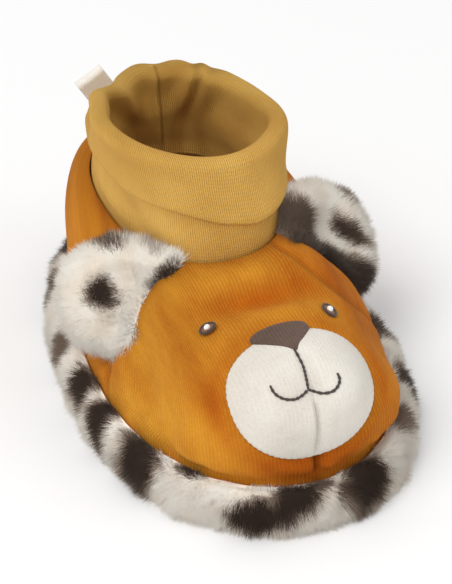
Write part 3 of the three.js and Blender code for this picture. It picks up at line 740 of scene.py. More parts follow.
def nap_group():
    """Brushed velour. Ribs are a sine across the cloth, bent a little by noise. Colour goes between the
    dark and light sides of the nap with the ribs, a fibre noise and wide brushed patches."""
    inputs = ("Vector", "Slant", "Rib", "Ribbing", "Dark", "Light")
    group, given, result = group_of("nap", inputs, ("Color", "Height"))
    place = given["Vector"]
    split = node(group, "SeparateXYZ", {0: place})
    bent = node(group, "TexNoise", {"Vector": place, "Scale": 160.0, "Detail": 2.0})
    fibre = node(group, "TexNoise", {"Vector": place, "Scale": 1900.0, "Detail": 4.0, "Roughness": 0.7})
    patch = node(group, "TexNoise", {"Vector": place, "Scale": 45.0, "Detail": 4.0, "Roughness": 0.62})
    slanted = sum_of(group, "MULTIPLY_ADD", split.outputs[1], given["Slant"], split.outputs[0])
    wander = sum_of(group, "MULTIPLY_ADD", bent.outputs[0], 0.0005, slanted)
    turns = sum_of(group, "DIVIDE", sum_of(group, "MULTIPLY", wander, 2 * math.pi), given["Rib"])
    broken = node(group, "MapRange", {0: fibre.outputs[0], 1: 0.35, 2: 0.6, 3: 0.25, 4: 1.0})
    even_rib = sum_of(group, "MULTIPLY", sum_of(group, "SINE", turns), given["Ribbing"])
    rib = sum_of(group, "MULTIPLY", even_rib, broken.outputs[0])
    mixed = sum_of(group, "MULTIPLY_ADD", rib, 0.1, sum_of(group, "MULTIPLY", fibre.outputs[0], 0.42))
    mixed = sum_of(group, "MULTIPLY_ADD", patch.outputs[0], 1.15, mixed)
    share = node(group, "MapRange", {0: mixed, 1: 0.52, 2: 1.04}).outputs[0]
    high = sum_of(group, "MULTIPLY_ADD", fibre.outputs[0], 1.3, sum_of(group, "MULTIPLY", rib, 0.5))
    group.links.new(blend(group, share, given["Dark"], given["Light"]), result["Color"])
    group.links.new(high, result["Height"])
    return group


nap = nap_group()


def napped(tree, place, slant, rib, ribbing, dark, light):
    """The nap group's outputs in a material, with its own slant, rib and colours."""
    cloth = node(tree, "Group", node_tree=nap)
    tree.links.new(place, cloth.inputs["Vector"])
    values = {"Slant": slant, "Rib": rib, "Ribbing": ribbing, "Dark": dye(dark), "Light": dye(light)}
    for socket, value in values.items():
        cloth.inputs[socket].default_value = value
    return cloth.outputs


def velour_finish():
    """Amber velour. The vamp is lighter and its ribs run straight up; the quarter is deeper, with slanting
    ribs.
    Painted shade with some brushed nap makes some places a deeper orange, painted shade makes the creases
    darker, and the lining is plain."""
    finish, tree, shader = finish_of("amber_velour", 0.88, 0.12, 0.3, 0.4, "FFB850")
    place = node(tree, "UVMap", uv_map="Cloth").outputs[0]
    vamp = napped(tree, place, 0.06, 0.00078, 1.0, "A65C0F", "D9992E")
    side = napped(tree, place, 0.75, 0.00078, 1.0, "A2540E", "D88A24")
    back = mark_of(tree, "Quarter")
    both = blend(tree, back, vamp["Color"], side["Color"])
    # Painted shade with some brushed nap: a deeper orange is multiplied in where this mark lies.
    painted_shade_and_nap = sum_of(tree, "MULTIPLY", mark_of(tree, "Shade_and_nap"), 0.9)
    deeper = blend(tree, painted_shade_and_nap, both, dye("E0A650"), "MULTIPLY")
    # Painted shade: the crease mark darkens the colour towards a deep brown.
    crease_shade = sum_of(tree, "MULTIPLY", mark_of(tree, "Crease_shade"), 0.6)
    shade = blend(tree, crease_shade, deeper, dye("7A3A0A"))
    lined = blend(tree, mark_of(tree, "Lining"), shade, dye("8A4A18"))
    heights = {0: back, 2: vamp["Height"], 3: side["Height"]}
    high = node(tree, "Mix", heights, data_type="FLOAT").outputs[0]
    dress(tree, shader, lined, high, 0.00022, 0.7)
    return finish


velour = velour_finish()
face_away = outer - muzzle_middle
face_up = face_away @ muzzle_up
outer_x, outer_y, outer_z = outer[..., 0], outer[..., 1], outer[..., 2]
# Painted shade: darker just over the band, under the cuff's edge at the collar, and in the toe's dart.
crease_shade = 0.08 * bell((outer_rises[:, None] - band_rise) / 0.035)
crease_shade = crease_shade + 0.6 * bell((outer_rises[:, None] - 1) / 0.03)
crease_shade = crease_shade + 0.9 * bell(outer_x / 0.8) * smooth((-face_up - 9) / 4) * (outer_y < -40)
# Painted shade with some brushed nap: a deeper orange on the brow, on the +X side towards the front, low on
# the toe, left of the muzzle, just in front of the seam and in a ring round the muzzle.
painted_shade_and_nap = 1.0 * bell((face_up - 21.5) / 3.4) * bell(outer_x / 12) * (outer_y < 0)
painted_shade_and_nap += 0.55 * smooth((outer_x - 13) / 6) * smooth((-outer_y - 8) / 10)
painted_shade_and_nap += 0.9 * bell((outer_z - 14) / 4.5) * bell((outer_x + 2) / 18) * smooth((-outer_y - 38) / 6)
painted_shade_and_nap += 0.5 * bell((face_away[..., 0] + 18) / 3) * bell((face_up - 4) / 8) * (outer_y < 0)
painted_shade_and_nap += 0.3 * bell((behind_seam + 2.5) / 2.5)
face_spread = np.hypot(outer_x / (muzzle_width / 2), face_up / (muzzle_height / 2))
painted_shade_and_nap += 0.5 * bell((face_spread - 1.15) / 0.16) * (outer_y < 0)
upper_marks = {
    "Quarter": np.concatenate([quarter, lining_rows]),
    "Crease_shade": np.concatenate([np.clip(0.8 * seam_shade_mark + crease_shade, 0, 1), zeros_in]),
    "Shade_and_nap": np.concatenate([np.clip(painted_shade_and_nap, 0, 1), zeros_in]),
    "Lining": np.concatenate([zeros_in[:1].repeat(len(outer_rises), 0), lining_rows]),
}
plain_edge = plain_upper(angle_in[:1], rise_in[:1])
plain_grid = np.concatenate([plain_upper(angle_grid, rise_grid), plain_edge, inner])
upper = skin("velour_upper", upper_grid, velour, ring=True, marks=upper_marks, cloth=plain_grid)
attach(upper, "root")
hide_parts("upper")


# Cuff. A tube of mustard jersey sewn inside the collar, turned over once at its mouth into a thick soft
# roll. It stands slack, so that its rim waves, its wall folds and its foot is drawn in at the back.
cuff_wall, cuff_height, cuff_mouth, cuff_forward = 1.6, 58.0, 35.5, 2.5
cuff_set_back = collar_set_back - cuff_forward
cuff_tuck, cuff_roll, turn_up_thickness = 4.0, 8.0, 2.2
# The turn-up's height at angles round the cuff, in degrees and millimetres, as it is folded by hand.
turn_up_heights = np.array([[-80, 10.0], [-64, 11.4], [-30, 11.9], [-6, 13.7], [15, 14.7], [36, 14.3]])
turn_up_heights = np.concatenate([turn_up_heights, [[90, 13.5], [180, 11.5], [250, 9.8], [280, 10.0]]])
# Rows up the outside, over the mouth and down the inside: share of that part, and the distance outwards
# in shares of the turn-up's thickness, or of the cuff's wall inside.
cuff_rows = {
    "tube": ((0.0, -0.05), (0.3, 0.0), (0.6, 0.0), (0.9, 0.0), (1.0, 0.05)),
    "turn": ((-0.02, 0.42), (0.02, 0.88), (0.1, 1.12), (0.3, 1.0), (0.55, 0.96), (0.78, 1.12)),
    "mouth": ((0.91, 1.06), (0.985, 0.62), (1.0, 0.0)),
    "rim": ((0.985, -0.55), (0.93, -0.95), (0.84, -1.05)),
    "lining": ((0.6, -1.0), (0.4, -1.0), (0.2, -1.0), (0.0, -1.0)),
}


def cuff_point(angle, share, offset):
    """From the collar at its foot to a round mouth that leans to +X, eased between them and drawn in by a
    sine at the waist."""
    foot = collar_point(angle, seam_gap)
    mouth = squared_oval(angle, cuff_mouth / 2, cuff_mouth / 2, 2)
    high = cuff_height - mouth[..., 0] * math.tan(math.radians(cuff_roll))
    blend = smooth(share)[..., None]
    waist = -0.02 * cuff_mouth * np.sin(np.pi * np.clip(share / 0.625, 0, 1))
    point = foot + (mouth + [0, cuff_set_back, 0] - foot) * blend
    point += unit(mouth) * (offset + waist)[..., None]
    point[..., 2] = foot[..., 2] + (high - foot[..., 2]) * share
    return point


def turn_up_share(angle):
    """The share of the cuff's height where the turn-up ends, from the table of its heights."""
    low, high = (cuff_point(angle, 0 * angle + end, 0 * angle)[..., 2] for end in (0, 1))
    turned = (np.degrees(angle) + 80) % 360 - 80
    tall = np.interp(turned, turn_up_heights[:, 0], turn_up_heights[:, 1]) + 0.25 * np.sin(5 * angle)
    return np.clip(1 - tall / (high - low), 0.12, None)


cuff_angles = full_turn(300)


def cuff_knot_rings():
    """The rings of the table itself, one for each row, as points."""
    turn = turn_up_share(cuff_angles)
    whole = np.ones_like(turn)
    rings = []
    for part, rows in cuff_rows.items():
        folded_over, inner_side = part in ("turn", "mouth"), part in ("rim", "lining")
        start = turn if folded_over else 0 * turn
        span = 1 - turn if folded_over else whole if inner_side else turn
        thick = (cuff_wall if inner_side else turn_up_thickness) * whole
        rings += [cuff_point(cuff_angles, start + span * share, out * thick) for share, out in rows]
    foot_out, foot_in = rings[0] - [0, 0, cuff_tuck], rings[-1] - [0, 0, cuff_tuck]
    return np.stack([foot_out, *rings, foot_in])


def through(knots, steps):
    """Rings through the knot rings by a Catmull-Rom curve, steps to a span, open at both ends."""
    t = np.linspace(0, len(knots) - 1, (len(knots) - 1) * steps + 1)
    k = np.clip(t.astype(int), 0, len(knots) - 2)
    f = (t - k)[:, None, None]
    p1, p2 = knots[k], knots[k + 1]
    p0, p3 = knots[np.maximum(k - 1, 0)], knots[np.minimum(k + 2, len(knots) - 1)]
    return catmull(p0, p1, p2, p3, f)


def angle_from(angle, degrees):
    """How far an angle is from a place round the cuff, in degrees, by the shorter way."""
    return (np.degrees(angle) - degrees + 180) % 360 - 180


cuff_grid = through(cuff_knot_rings(), 5)
cuff_out = unit((cuff_grid - [0, cuff_set_back, 0]) * [1, 1, 0])
rim_share = smooth((cuff_grid[..., 2] - 38) / 20)
round_at = np.broadcast_to(cuff_angles, cuff_grid.shape[:2])
# Folds of the slack wall: place round in degrees, half width, how far out, how high it starts, and slant.
cuff_folds = (
    (205, 10, -2.4, 0.1, 1.6),
    (226, 11, 1.0, 0.2, 0),
    (156, 7, -2.1, 0.1, -0.3),
    (141, 7, -1.4, 0.2, 0.4),
    (148, 4, 0.7, 0.3, 0),
    (187, 9, 1.0, 0.2, 0.3),
    (170, 6, 0.5, 0.2, 0),
    (250, 14, -0.7, 0.4, 0),
    (100, 16, -0.6, 0.3, 0),
    (65, 14, 0.5, 0.3, 0),
)
cuff_high = cuff_grid[..., 2]
push, folded = np.zeros(cuff_high.shape), np.zeros(cuff_high.shape)
near_rim = 1 - 0.5 * smooth((rim_share - 0.8) / 0.2)
for fold_place, half_width, fold_push, starts, slant in cuff_folds:
    across_fold = bell((angle_from(round_at, fold_place) - slant * (cuff_high - 50)) / half_width)
    push += fold_push * across_fold * smooth((rim_share - starts) / 0.6)
    folded += max(0, -fold_push / 2.2) * across_fold * near_rim
push += 0.3 * uneven(cuff_grid, 13.0, 91) * smooth((cuff_high - 37) / 6)
pull = np.sin(np.radians((angle_from(round_at, 318) + (cuff_high - 40) * 4.5) * 7))
push += 0.4 * pull * bell(angle_from(round_at, 300) / 40) * bell((cuff_high - 41) / 5)
outside_rows = len(cuff_grid) * 14 // 22
inside = (np.arange(len(cuff_grid)) >= outside_rows).astype(float)[:, None]
# Low inside, the slack cloth at the back is drawn in.
drawn_in = 7.0 * smooth((57 - cuff_high) / 20)
push -= drawn_in * inside * bell(angle_from(round_at, 180) / 75)
push += 0.9 * bell((cuff_high - 41) / 2.6) * (1 - inside) * bell(angle_from(round_at, 280) / 35)
cuff_grid = cuff_grid + cuff_out * push[..., None]
wave = 1.5 * bell(angle_from(cuff_angles, 152) / 15) - 0.5 * bell(angle_from(cuff_angles, 176) / 9)
wave -= 1.1 * bell(angle_from(cuff_angles, 214) / 24) + 0.5 * bell(angle_from(cuff_angles, 122) / 16)
wave += 0.3 * np.sin(2 * cuff_angles + 0.4) - 1.5 * bell(angle_from(cuff_angles, 5) / 42)
cuff_grid[..., 2] += rim_share * wave
cuff_high = cuff_grid[..., 2]
seam_place = angle_from(round_at, 179) - 0.4 * (cuff_high - 55)
seam_ridge = 0.55 * bell((seam_place - 2.5) / 2.0) - 0.5 * bell(seam_place / 0.9)
cuff_grid = cuff_grid - cuff_out * (seam_ridge * inside * smooth((cuff_high - 34) / 4))[..., None]
# Painted shade: darker low inside the cuff, along the seam inside and in the inward folds, and low on the
# outside below the turn-up.
inner_shade = 0.08 + 0.3 * smooth((50 - cuff_high) / 8) + bell(seam_place / 0.9)
inner_shade += 0.95 * folded * smooth((58 - cuff_high) / 9)
outer_shade = 0.2 * smooth((43 - cuff_high) / 4)
cuff_marks = {"Crease_shade": np.clip(inner_shade * inside + outer_shade * (1 - inside), 0, 1)}


def knit_group():
    """Jersey. Across a wale the height is sin of its two legs, which meet in a V: the stitch's phase moves
    with the distance from the wale's middle. Fleck is a fibre noise."""
    group, given, result = group_of("knit", ("Vector", "Wale"), ("Height", "Fleck"))
    split = node(group, "SeparateXYZ", {0: given["Vector"]})
    wale = sum_of(group, "DIVIDE", split.outputs[0], given["Wale"])
    course = sum_of(group, "DIVIDE", split.outputs[1], given["Wale"])
    middle = sum_of(group, "ABSOLUTE", sum_of(group, "SUBTRACT", sum_of(group, "FRACT", wale), 0.5))
    legs = sum_of(group, "SINE", sum_of(group, "MULTIPLY", middle, 2 * math.pi))
    phase = sum_of(group, "MULTIPLY_ADD", middle, 1.1, sum_of(group, "MULTIPLY", course, 1.25))
    stitch = sum_of(group, "SINE", sum_of(group, "MULTIPLY", phase, 2 * math.pi))
    high = sum_of(group, "MULTIPLY", legs, sum_of(group, "MULTIPLY_ADD", stitch, 0.14, 0.86))
    fibre = node(group, "TexNoise", {"Vector": given["Vector"], "Scale": 2400.0, "Detail": 3.0})
    group.links.new(sum_of(group, "MULTIPLY_ADD", fibre.outputs[0], 0.5, high), result["Height"])
    group.links.new(fibre.outputs[0], result["Fleck"])
    return group


def jersey_finish():
    """Mustard jersey: its colour between two shades by the stitch and by soft wide patches, with painted
    shade deeper in the folds, along the seam inside and low down."""
    finish, tree, shader = finish_of("mustard_jersey", 0.9, 0.12, 0.12, 0.5, "FFC070")
    place = node(tree, "UVMap", uv_map="Cloth").outputs[0]
    cloth = node(tree, "Group", node_tree=knit_group())
    cloth.inputs["Wale"].default_value = 0.00092
    tree.links.new(place, cloth.inputs["Vector"])
    stitches = cloth.outputs["Height"]
    patch = node(tree, "TexNoise", {"Vector": place, "Scale": 55.0, "Detail": 3.0})
    share = sum_of(tree, "MULTIPLY_ADD", stitches, 0.3, patch.outputs[0])
    share = node(tree, "MapRange", {0: share, 1: 0.3, 2: 1.0}).outputs[0]
    # Painted shade: the crease mark darkens the colour towards a deep brown.
    crease_shade = sum_of(tree, "MULTIPLY", mark_of(tree, "Crease_shade"), 0.5)
    shaded = blend(tree, crease_shade, blend(tree, share, dye("B78439"), dye("E0B35D")), dye("8C501C"))
    dress(tree, shader, shaded, stitches, 0.00026, 0.85)
    let_light_through(tree, shader, 0.9)
    return finish


cuff = skin("jersey_cuff", cuff_grid, jersey_finish(), ring=True, marks=cuff_marks)
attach(cuff, "root")
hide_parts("cuff")


# Muzzle, nose and mouth. The muzzle is a white velour patch over the stuffing, its edge turned under and
# sewn. The nose is a grey-brown patch at its top, and the mouth is sewn in dark thread.
table_angles, table_rises = np.meshgrid(np.radians(np.arange(-70, 71, 2.0)), np.linspace(0.05, 0.98, 60))
table_points = upper_form(table_angles, table_rises)


patch_rise = seam_gap + 0.15


def on_upper(across, up, middle, way_across, way_up):
    """The upper's angle and rise under a place in a plane: the nearest of a table's points, then six
    Newton steps on the two coordinates in that plane."""
    axes = np.stack([way_across, way_up], -1)
    wanted = np.stack([across, up], -1)
    flat = (table_points.reshape(-1, 3) - middle) @ axes
    first = np.square(wanted.reshape(-1, 1, 2) - flat).sum(-1).argmin(1).reshape(across.shape)
    angle, rise = table_angles.ravel()[first], table_rises.ravel()[first]
    step = 0.002
    for _ in range(6):
        here = (upper_form(angle, rise) - middle) @ axes
        a = ((upper_form(angle + step, rise) - middle) @ axes - here) / step
        b = ((upper_form(angle, rise + step) - middle) @ axes - here) / step
        miss = wanted - here
        size = a[..., 0] * b[..., 1] - a[..., 1] * b[..., 0]
        angle = angle + np.clip((miss[..., 0] * b[..., 1] - miss[..., 1] * b[..., 0]) / size, -0.2, 0.2)
        higher = np.clip((a[..., 0] * miss[..., 1] - a[..., 1] * miss[..., 0]) / size, -0.1, 0.1)
        rise = np.clip(rise + higher, 0.01, 0.995)
    return upper_form(angle, rise), normal_of(upper_form, angle, rise)


def patch_on_upper(name, outline, thickness, finish, shape=None, rings=26, frame_of=None):
    """A sewn patch over the upper: rings from its middle to its edge on top, then back underneath. Its
    top falls to the edge as 1 - share ^ 6, and shape adds its own relief."""
    middle, way_across, way_up = frame_of or (muzzle_middle, straight_across, muzzle_up)
    out = np.linspace(0.02, 1, rings)
    share = np.concatenate([out, out[::-1]])[:, None]
    centre = outline.mean(0)
    flat = centre + (outline - centre)[None] * share[..., None]
    ground, normal = on_upper(flat[..., 0], flat[..., 1], middle, way_across, way_up)
    top = (np.arange(2 * rings) < rings)[:, None]
    high = thickness * (1 - share**6)
    if shape is not None:
        high = high + shape(flat[..., 0], flat[..., 1]) * (1 - share**8)
    lift = np.where(top, patch_rise + high, seam_gap)
    grid = ground + normal * lift[..., None]
    return skin(name, grid[::-1], finish)


def muzzle_relief(across, up):
    """Two soft cheeks with a cleft between them below the nose, and a sewn dart under the mouth."""
    cleft = bell(across / 1.3) * smooth((8 - up) / 3) * smooth((up + 3) / 3)
    dart = bell((across + 0.6) / 0.42) * smooth((-up - 1) / 3)
    cheeks = bell((np.abs(across) - 6.5) / 4.5) * bell((up + 1) / 6)
    lips = bell((np.abs(across) - 1.9) / 1.1) * smooth((-up - 2) / 4)
    return 0.7 * cheeks - 1.1 * cleft - 1.1 * dart + 0.3 * lips


turn_angles, muzzle_thickness = full_turn(220), 1.2
muzzle_outline = squared_oval(turn_angles, muzzle_width / 2, muzzle_height / 2, 2.3)[:, :2]
edge_run = np.sin(turn_angles * 64)
lower_left = bell(angle_from(turn_angles, 52) / 34)
muzzle_outline = muzzle_outline * (1 + 0.004 * edge_run - 0.05 * lower_left)[:, None]


def pile_cloth(name, dark, light, depth, rib, sheen_tint, sheen, ribbing):
    """A short-piled velour in one colour, from the nap group on the patch's own place."""
    finish, tree, shader = finish_of(name, 0.88, 0.12, sheen, 0.4, sheen_tint)
    cloth = napped(tree, node(tree, "TexCoord").outputs["Object"], 0.0, rib, ribbing, dark, light)
    dress(tree, shader, cloth["Color"], cloth["Height"], depth, 0.7)
    return finish


white_velour = pile_cloth("white_velour", "CFC6B8", "E9E4DB", 0.00034, 0.0008, "FFFFFF", 0.2, 0.25)
muzzle = patch_on_upper(
    "white_muzzle", muzzle_outline, muzzle_thickness, white_velour, muzzle_relief, rings=44
)
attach(muzzle, "root")
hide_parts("muzzle")

nose_width, nose_height, nose_overhang, nose_thickness = 12.0, 7.0, 1.2, 1.7
nose_top = muzzle_height / 2 + nose_overhang
nose_tip = nose_top - nose_height
nose_rows = np.array(
    [[0, 0], [0.32, 0.2], [0.7, 0.45], [1.0, 0.74], [0.93, 0.93], [0.5, 1.02], [0, 1.05]]
)
nose_corners = np.concatenate([nose_rows, nose_rows[-2:0:-1] * [-1, 1]])
nose_corners = nose_corners * [nose_width / 2, nose_height] + [-0.7, nose_tip]
nose_outline = round_section(nose_corners, 96)
nose_velour = pile_cloth("nose_velour", "44342D", "6E5A50", 0.0004, 0.0007, "C8B4A8", 0.3, 0.8)
nose = patch_on_upper("brown_nose", nose_outline, nose_thickness + 0.1, nose_velour)
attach(nose, "root")
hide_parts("nose")


def thread_tube(path, radius):
    """Rings of a thread round a path: each is a circle square to the path's run, a little thicker at each
    stitch, and it thins to both ends."""
    run = unit(np.gradient(path, axis=0))
    side = unit(np.cross(run, [0.3, 0.1, 1.0]))
    share = np.linspace(0, 1, len(path))
    length, stitch = np.linalg.norm(np.diff(path, axis=0), axis=1).sum(), 1.1
    stitched = 1 + 0.2 * np.sin(share * length * 2 * np.pi / stitch)
    size = radius * stitched * np.clip(np.minimum(share, 1 - share) * 14, 0.25, 1) ** 0.5
    return path[:, None] + wheel(side, np.cross(run, side), full_turn(10)) * size[:, None, None]


def joined(name, tubes, finish):
    """One mesh of several closed tubes."""
    points, quads, threes, start = [], [], [], 0
    for grid in tubes:
        rows, cols = grid.shape[:2]
        index = start + np.arange(rows * cols).reshape(rows, cols)
        after = np.roll(index, -1, 1)
        quads.append(np.stack([index[:-1], after[:-1], after[1:], index[1:]], -1).reshape(-1, 4))
        points += [grid.reshape(-1, 3), grid[[0, -1]].mean(1)]
        last = start + rows * cols
        threes.append(np.stack([np.full(cols, last), after[0], index[0]], -1))
        threes.append(np.stack([np.full(cols, last + 1), index[-1], after[-1]], -1))
        start = last + 2
    return mesh_piece(name, np.concatenate(points), np.concatenate(quads), np.concatenate(threes), finish)


def thread_finish(name, dark, light):
    """Twisted sewing thread: two close shades in a slanting twist, with a faint gloss."""
    finish, tree, shader = finish_of(name, 0.6, sheen=0.3)
    place = node(tree, "TexCoord").outputs["Object"]
    twist = node(tree, "TexWave", {"Vector": place, "Scale": 900.0, "Distortion": 4.0}).outputs["Fac"]
    dress(tree, shader, blend(tree, twist, dye(dark), dye(light)), twist, 0.0001)
    return finish


def smooth_path(corners, count):
    """An open line through the corners by a Catmull-Rom curve, in count points."""
    steps = 24
    line = through(np.asarray(corners, float)[:, None], steps)[:, 0]
    return line[np.linspace(0, (len(corners) - 1) * steps, count).astype(int)]


# The mouth's lines in the muzzle's plane, across and up from its middle.
mouth_lines = (
    ((-0.9, nose_tip + 0.8), (-0.75, 4.4), (-1.0, 2.0), (-1.35, -0.2)),
    ((-7.1, 1.9), (-6.9, 0.5), (-6.0, -0.7), (-4.6, -1.3), (-3.0, -1.0), (-1.35, -0.2)),
    ((4.75, 1.2), (4.85, 0.1), (4.3, -0.9), (3.1, -1.6), (1.2, -1.5), (-0.3, -0.7), (-1.35, -0.2)),
)
mouth_tubes = []
for line in mouth_lines:
    flat = smooth_path(line, 90)
    ground, normal = on_upper(flat[:, 0], flat[:, 1], muzzle_middle, straight_across, muzzle_up)
    lift = patch_rise + muzzle_thickness + muzzle_relief(flat[:, 0], flat[:, 1]) + 0.12
    mouth_tubes.append(thread_tube(ground + normal * lift[:, None], 0.28))
mouth = joined("mouth_thread", mouth_tubes, thread_finish("dark_thread", "2A1E19", "453530"))
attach(mouth, "root")


# Eyes. Each is sewn on the vamp: a rust-brown almond of satin stitch with a raised dark edge, round a
# small white centre. The two lean differently, as they are sewn by hand.
eye_angle, eye_rise = 29.0, 0.7
eye_brown = thread_finish("eye_brown", "6E4020", "96602F")
eye_dark = thread_finish("eye_dark", "2E1D15", "4A3024")
eye_white = thread_finish("eye_white", "F2EFEA", "FFFFFF")
for name, side, lean, forward, lift in (("left", 1, 40.0, -3.5, -0.018), ("right", -1, 80.0, 0.5, 0.022)):
    seat_angle, seat_rise = np.array(side * math.radians(eye_angle + forward)), np.array(eye_rise + lift)
    middle = upper_form(seat_angle, seat_rise)
    out = normal_of(upper_form, seat_angle, seat_rise)
    way_across = unit(np.cross([0, 0, 1.0], out))
    way_up = np.cross(out, way_across)
    turn = full_turn(72)
    long_way = np.array([math.cos(math.radians(lean)), math.sin(math.radians(lean))])
    cross_way = np.array([-long_way[1], long_way[0]])
    narrow = 1.1 * np.abs(np.sin(turn)) ** 1.25 * np.sign(np.sin(turn))
    almond = long_way * (np.cos(turn) * 1.65)[:, None] + cross_way * narrow[:, None]
    oval = long_way * (np.cos(turn) * 0.74)[:, None] + cross_way * (np.sin(turn) * 0.62)[:, None]
    place = (middle, way_across, way_up)
    pad = patch_on_upper(f"eye_{name}_pad", almond, 0.5, eye_brown, rings=12, frame_of=place)
    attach(pad, "root")
    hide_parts(f"eye_{name}")
    ground, normal = on_upper(almond[:, 0], almond[:, 1], *place)
    path = ground + normal * 0.75
    run = unit(np.roll(path, -1, 0) - np.roll(path, 1, 0))
    swing = wheel(np.cross(run, normal), normal, full_turn(10))
    stitched = 0.3 * (1 + 0.12 * np.sin(turn * 22))
    edge = skin(f"eye_{name}_edge", path[:, None] + swing * stitched[:, None, None], eye_dark, ring=True)
    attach(edge, "root")
    white = patch_on_upper(f"eye_{name}_centre", oval, 1.05, eye_white, rings=8, frame_of=place)
    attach(white, "root")


# Ears. Each is a stuffed disc of the same plush, a little hollow in front, sewn into the vamp seam. The
# wearer's right one is cream with one dark spot; the left one is mostly dark with a cream stripe.
ear_diameter, ear_thickness, ear_out_turn, ear_tilt = 26.0, 9.0, 36.0, 40.0
ear_seat_angle, ear_seat_rise, ear_seat_lift = 76.0, 0.63, 0.22
ear_section = np.array(
    [
        [0.0, 0.12],
        [0.3, 0.18],
        [0.55, 0.3],
        [0.74, 0.26],
        [0.85, 0.08],
        [0.87, -0.1],
        [0.76, -0.3],
        [0.5, -0.38],
        [0.2, -0.4],
        [0.0, -0.4],
    ]
)
# Charts of the ears in millimetres across and up from the middle: half sizes, turn and darkness.
ear_spots = {
    "right": (
        (-2.9, -0.5, 3.3, 3.1, 0, 1.0),
        # The narrower dark marks below lie along this ear's edges: partly its brown under-fur, partly
        # painted shadow.
        (10.6, 4.2, 3.6, 2.0, 40, 1.0),
        (7.8, -1.2, 3.8, 1.0, 72, 0.9),
        (6.6, -6.4, 4.6, 0.9, 76, 0.9),
        (-11.0, -13.0, 2.0, 3.4, 30, 0.55),
        (-9.2, -9.5, 1.2, 2.4, 20, 0.4),
        (-3.4, 8.9, 3.8, 1.1, 8, 0.8),
        (6.0, 9.4, 2.6, 1.0, -20, 0.35),
    ),
    "left": (
        (-5.8, 8.0, 5.4, 4.4, 20, 0.85),
        (-9.4, 1.5, 5.6, 5.2, -50, 0.85),
        (-4.4, -4.8, 8.6, 4.0, -54, 1.0),
        (1.0, -10.8, 3.8, 3.0, -54, 0.95),
        (4.4, -1.2, 4.8, 2.5, -72, 0.95),
        (9.6, 3.4, 2.6, 1.4, -60, 0.6),
    ),
}


def clear_of(points, surface, normals, gap):
    """Points pushed out along the nearest surface point's normal until they stand gap off it."""
    moved, depth = points.copy(), np.zeros(len(points))
    flat = surface.reshape(-1, 3).astype(np.float32)
    ways = normals.reshape(-1, 3)
    for start in range(0, len(points), 2000):
        some = points[start : start + 2000].astype(np.float32)
        near = (np.square(flat).sum(1) - 2 * some @ flat.T).argmin(1)
        off = ((some - flat[near]) * ways[near]).sum(1)
        short = np.clip(gap - off, 0, None)
        moved[start : start + 2000] += ways[near] * short[:, None]
        depth[start : start + 2000] = short
    return moved, depth


cuff_outside = cuff_grid[:outside_rows:3]
cuff_outside_normals = outward(cuff_grid, ring=True)[:outside_rows:3]
ear_hairs = 33000
for name, side in (("left", 1), ("right", -1)):
    seat_angle = np.array(side * math.radians(ear_seat_angle))
    seat = upper_form(seat_angle, np.array(ear_seat_rise))
    seat = seat + normal_of(upper_form, seat_angle, np.array(ear_seat_rise)) * ear_thickness * ear_seat_lift
    turn_out, tilt = math.radians(ear_out_turn), math.radians(ear_tilt)
    out = np.array(
        [side * math.sin(turn_out) * math.cos(tilt), -math.cos(turn_out) * math.cos(tilt), math.sin(tilt)]
    )
    way_across = unit(np.cross([0, 0, 1.0], out))
    way_up = np.cross(out, way_across)
    rows = through(ear_section[:, None], 6)[:, 0]
    around = full_turn(120)
    faceward = smooth(-side * np.cos(around)) * (0.24 if side < 0 else 0.12)
    trimmed = 0.12 * bell(angle_from(around, 100) / 42) if side < 0 else 0
    uneven_edge = 1 + faceward - trimmed + 0.02 * np.sin(5 * around + side)
    reach = np.maximum(rows[:, :1], 0.01) * ear_diameter / 2 * uneven_edge
    grid = (
        seat
        + way_across * (reach * np.cos(around))[..., None]
        + way_up * (reach * np.sin(around))[..., None]
        + out * (rows[:, 1] * ear_thickness)[:, None, None]
    )
    grid = grid + out * (0.5 * uneven(grid, 9.0, 101 + side))[..., None]
    near = np.abs(angle_from(upper_angles, side * ear_seat_angle)) < 62
    ground, ground_normals = outer_creased[8:, near], outer_normals[8:, near]
    whole = grid.reshape(-1, 3)
    flat, sunk = clear_of(whole, ground, ground_normals, 0.3)
    lying = 2.4 if side < 0 else 1.2
    dipped = 1.4 * smooth((sunk - lying) / 1.2) / np.maximum(sunk, 0.01)
    flat = flat - (flat - whole) * dipped[:, None]
    flat, sunk_cuff = clear_of(flat, cuff_outside, cuff_outside_normals, 0.2)
    grid = flat.reshape(grid.shape)[::-1]
    free = ((sunk < lying + 0.5) & (sunk_cuff < 0.05)).reshape(grid.shape[:2])[::-1]
    normals = outward(grid)
    ear_plane = (grid - seat) @ np.stack([way_across, way_up], -1)
    dark = leopard(ear_plane[..., 0], ear_plane[..., 1], ear_spots[name], 121 + side)
    marks = {"Coat": coat_colour(dark, grid, 131), "Height": np.ones(grid.shape[:2])}
    base = skin(f"ear_{name}_disc", grid, plush, marks=marks)
    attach(base, "root")
    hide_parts(f"ear_{name}")
    at, skin_ways, _, _ = scatter(grid, normals, ear_hairs, 141 + side, free)
    rng = np.random.default_rng(151 + side)
    plane = (at - seat) @ np.stack([way_across, way_up], -1)
    plane = plane + rng.normal(size=plane.shape) * hair_stray
    dark = leopard(plane[:, 0], plane[:, 1], ear_spots[name], 121 + side)
    length = hair_length * rng.uniform(0.7, 1.2, len(at))
    bend = 0.6 * unit(at - seat) + 0.8 * sway(at, 8.0, 165) + 0.5 * sway(at, 1.9, 161)

    def clear(tips):
        tips, _ = clear_of(tips, ground, ground_normals, 0.2)
        return clear_of(tips, cuff_outside, cuff_outside_normals, 0.2)[0]

    pile = grow(f"ear_{name}_pile", at, skin_ways, length, bend, dark, rng, (131, 171), clear)
    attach(pile, "root")


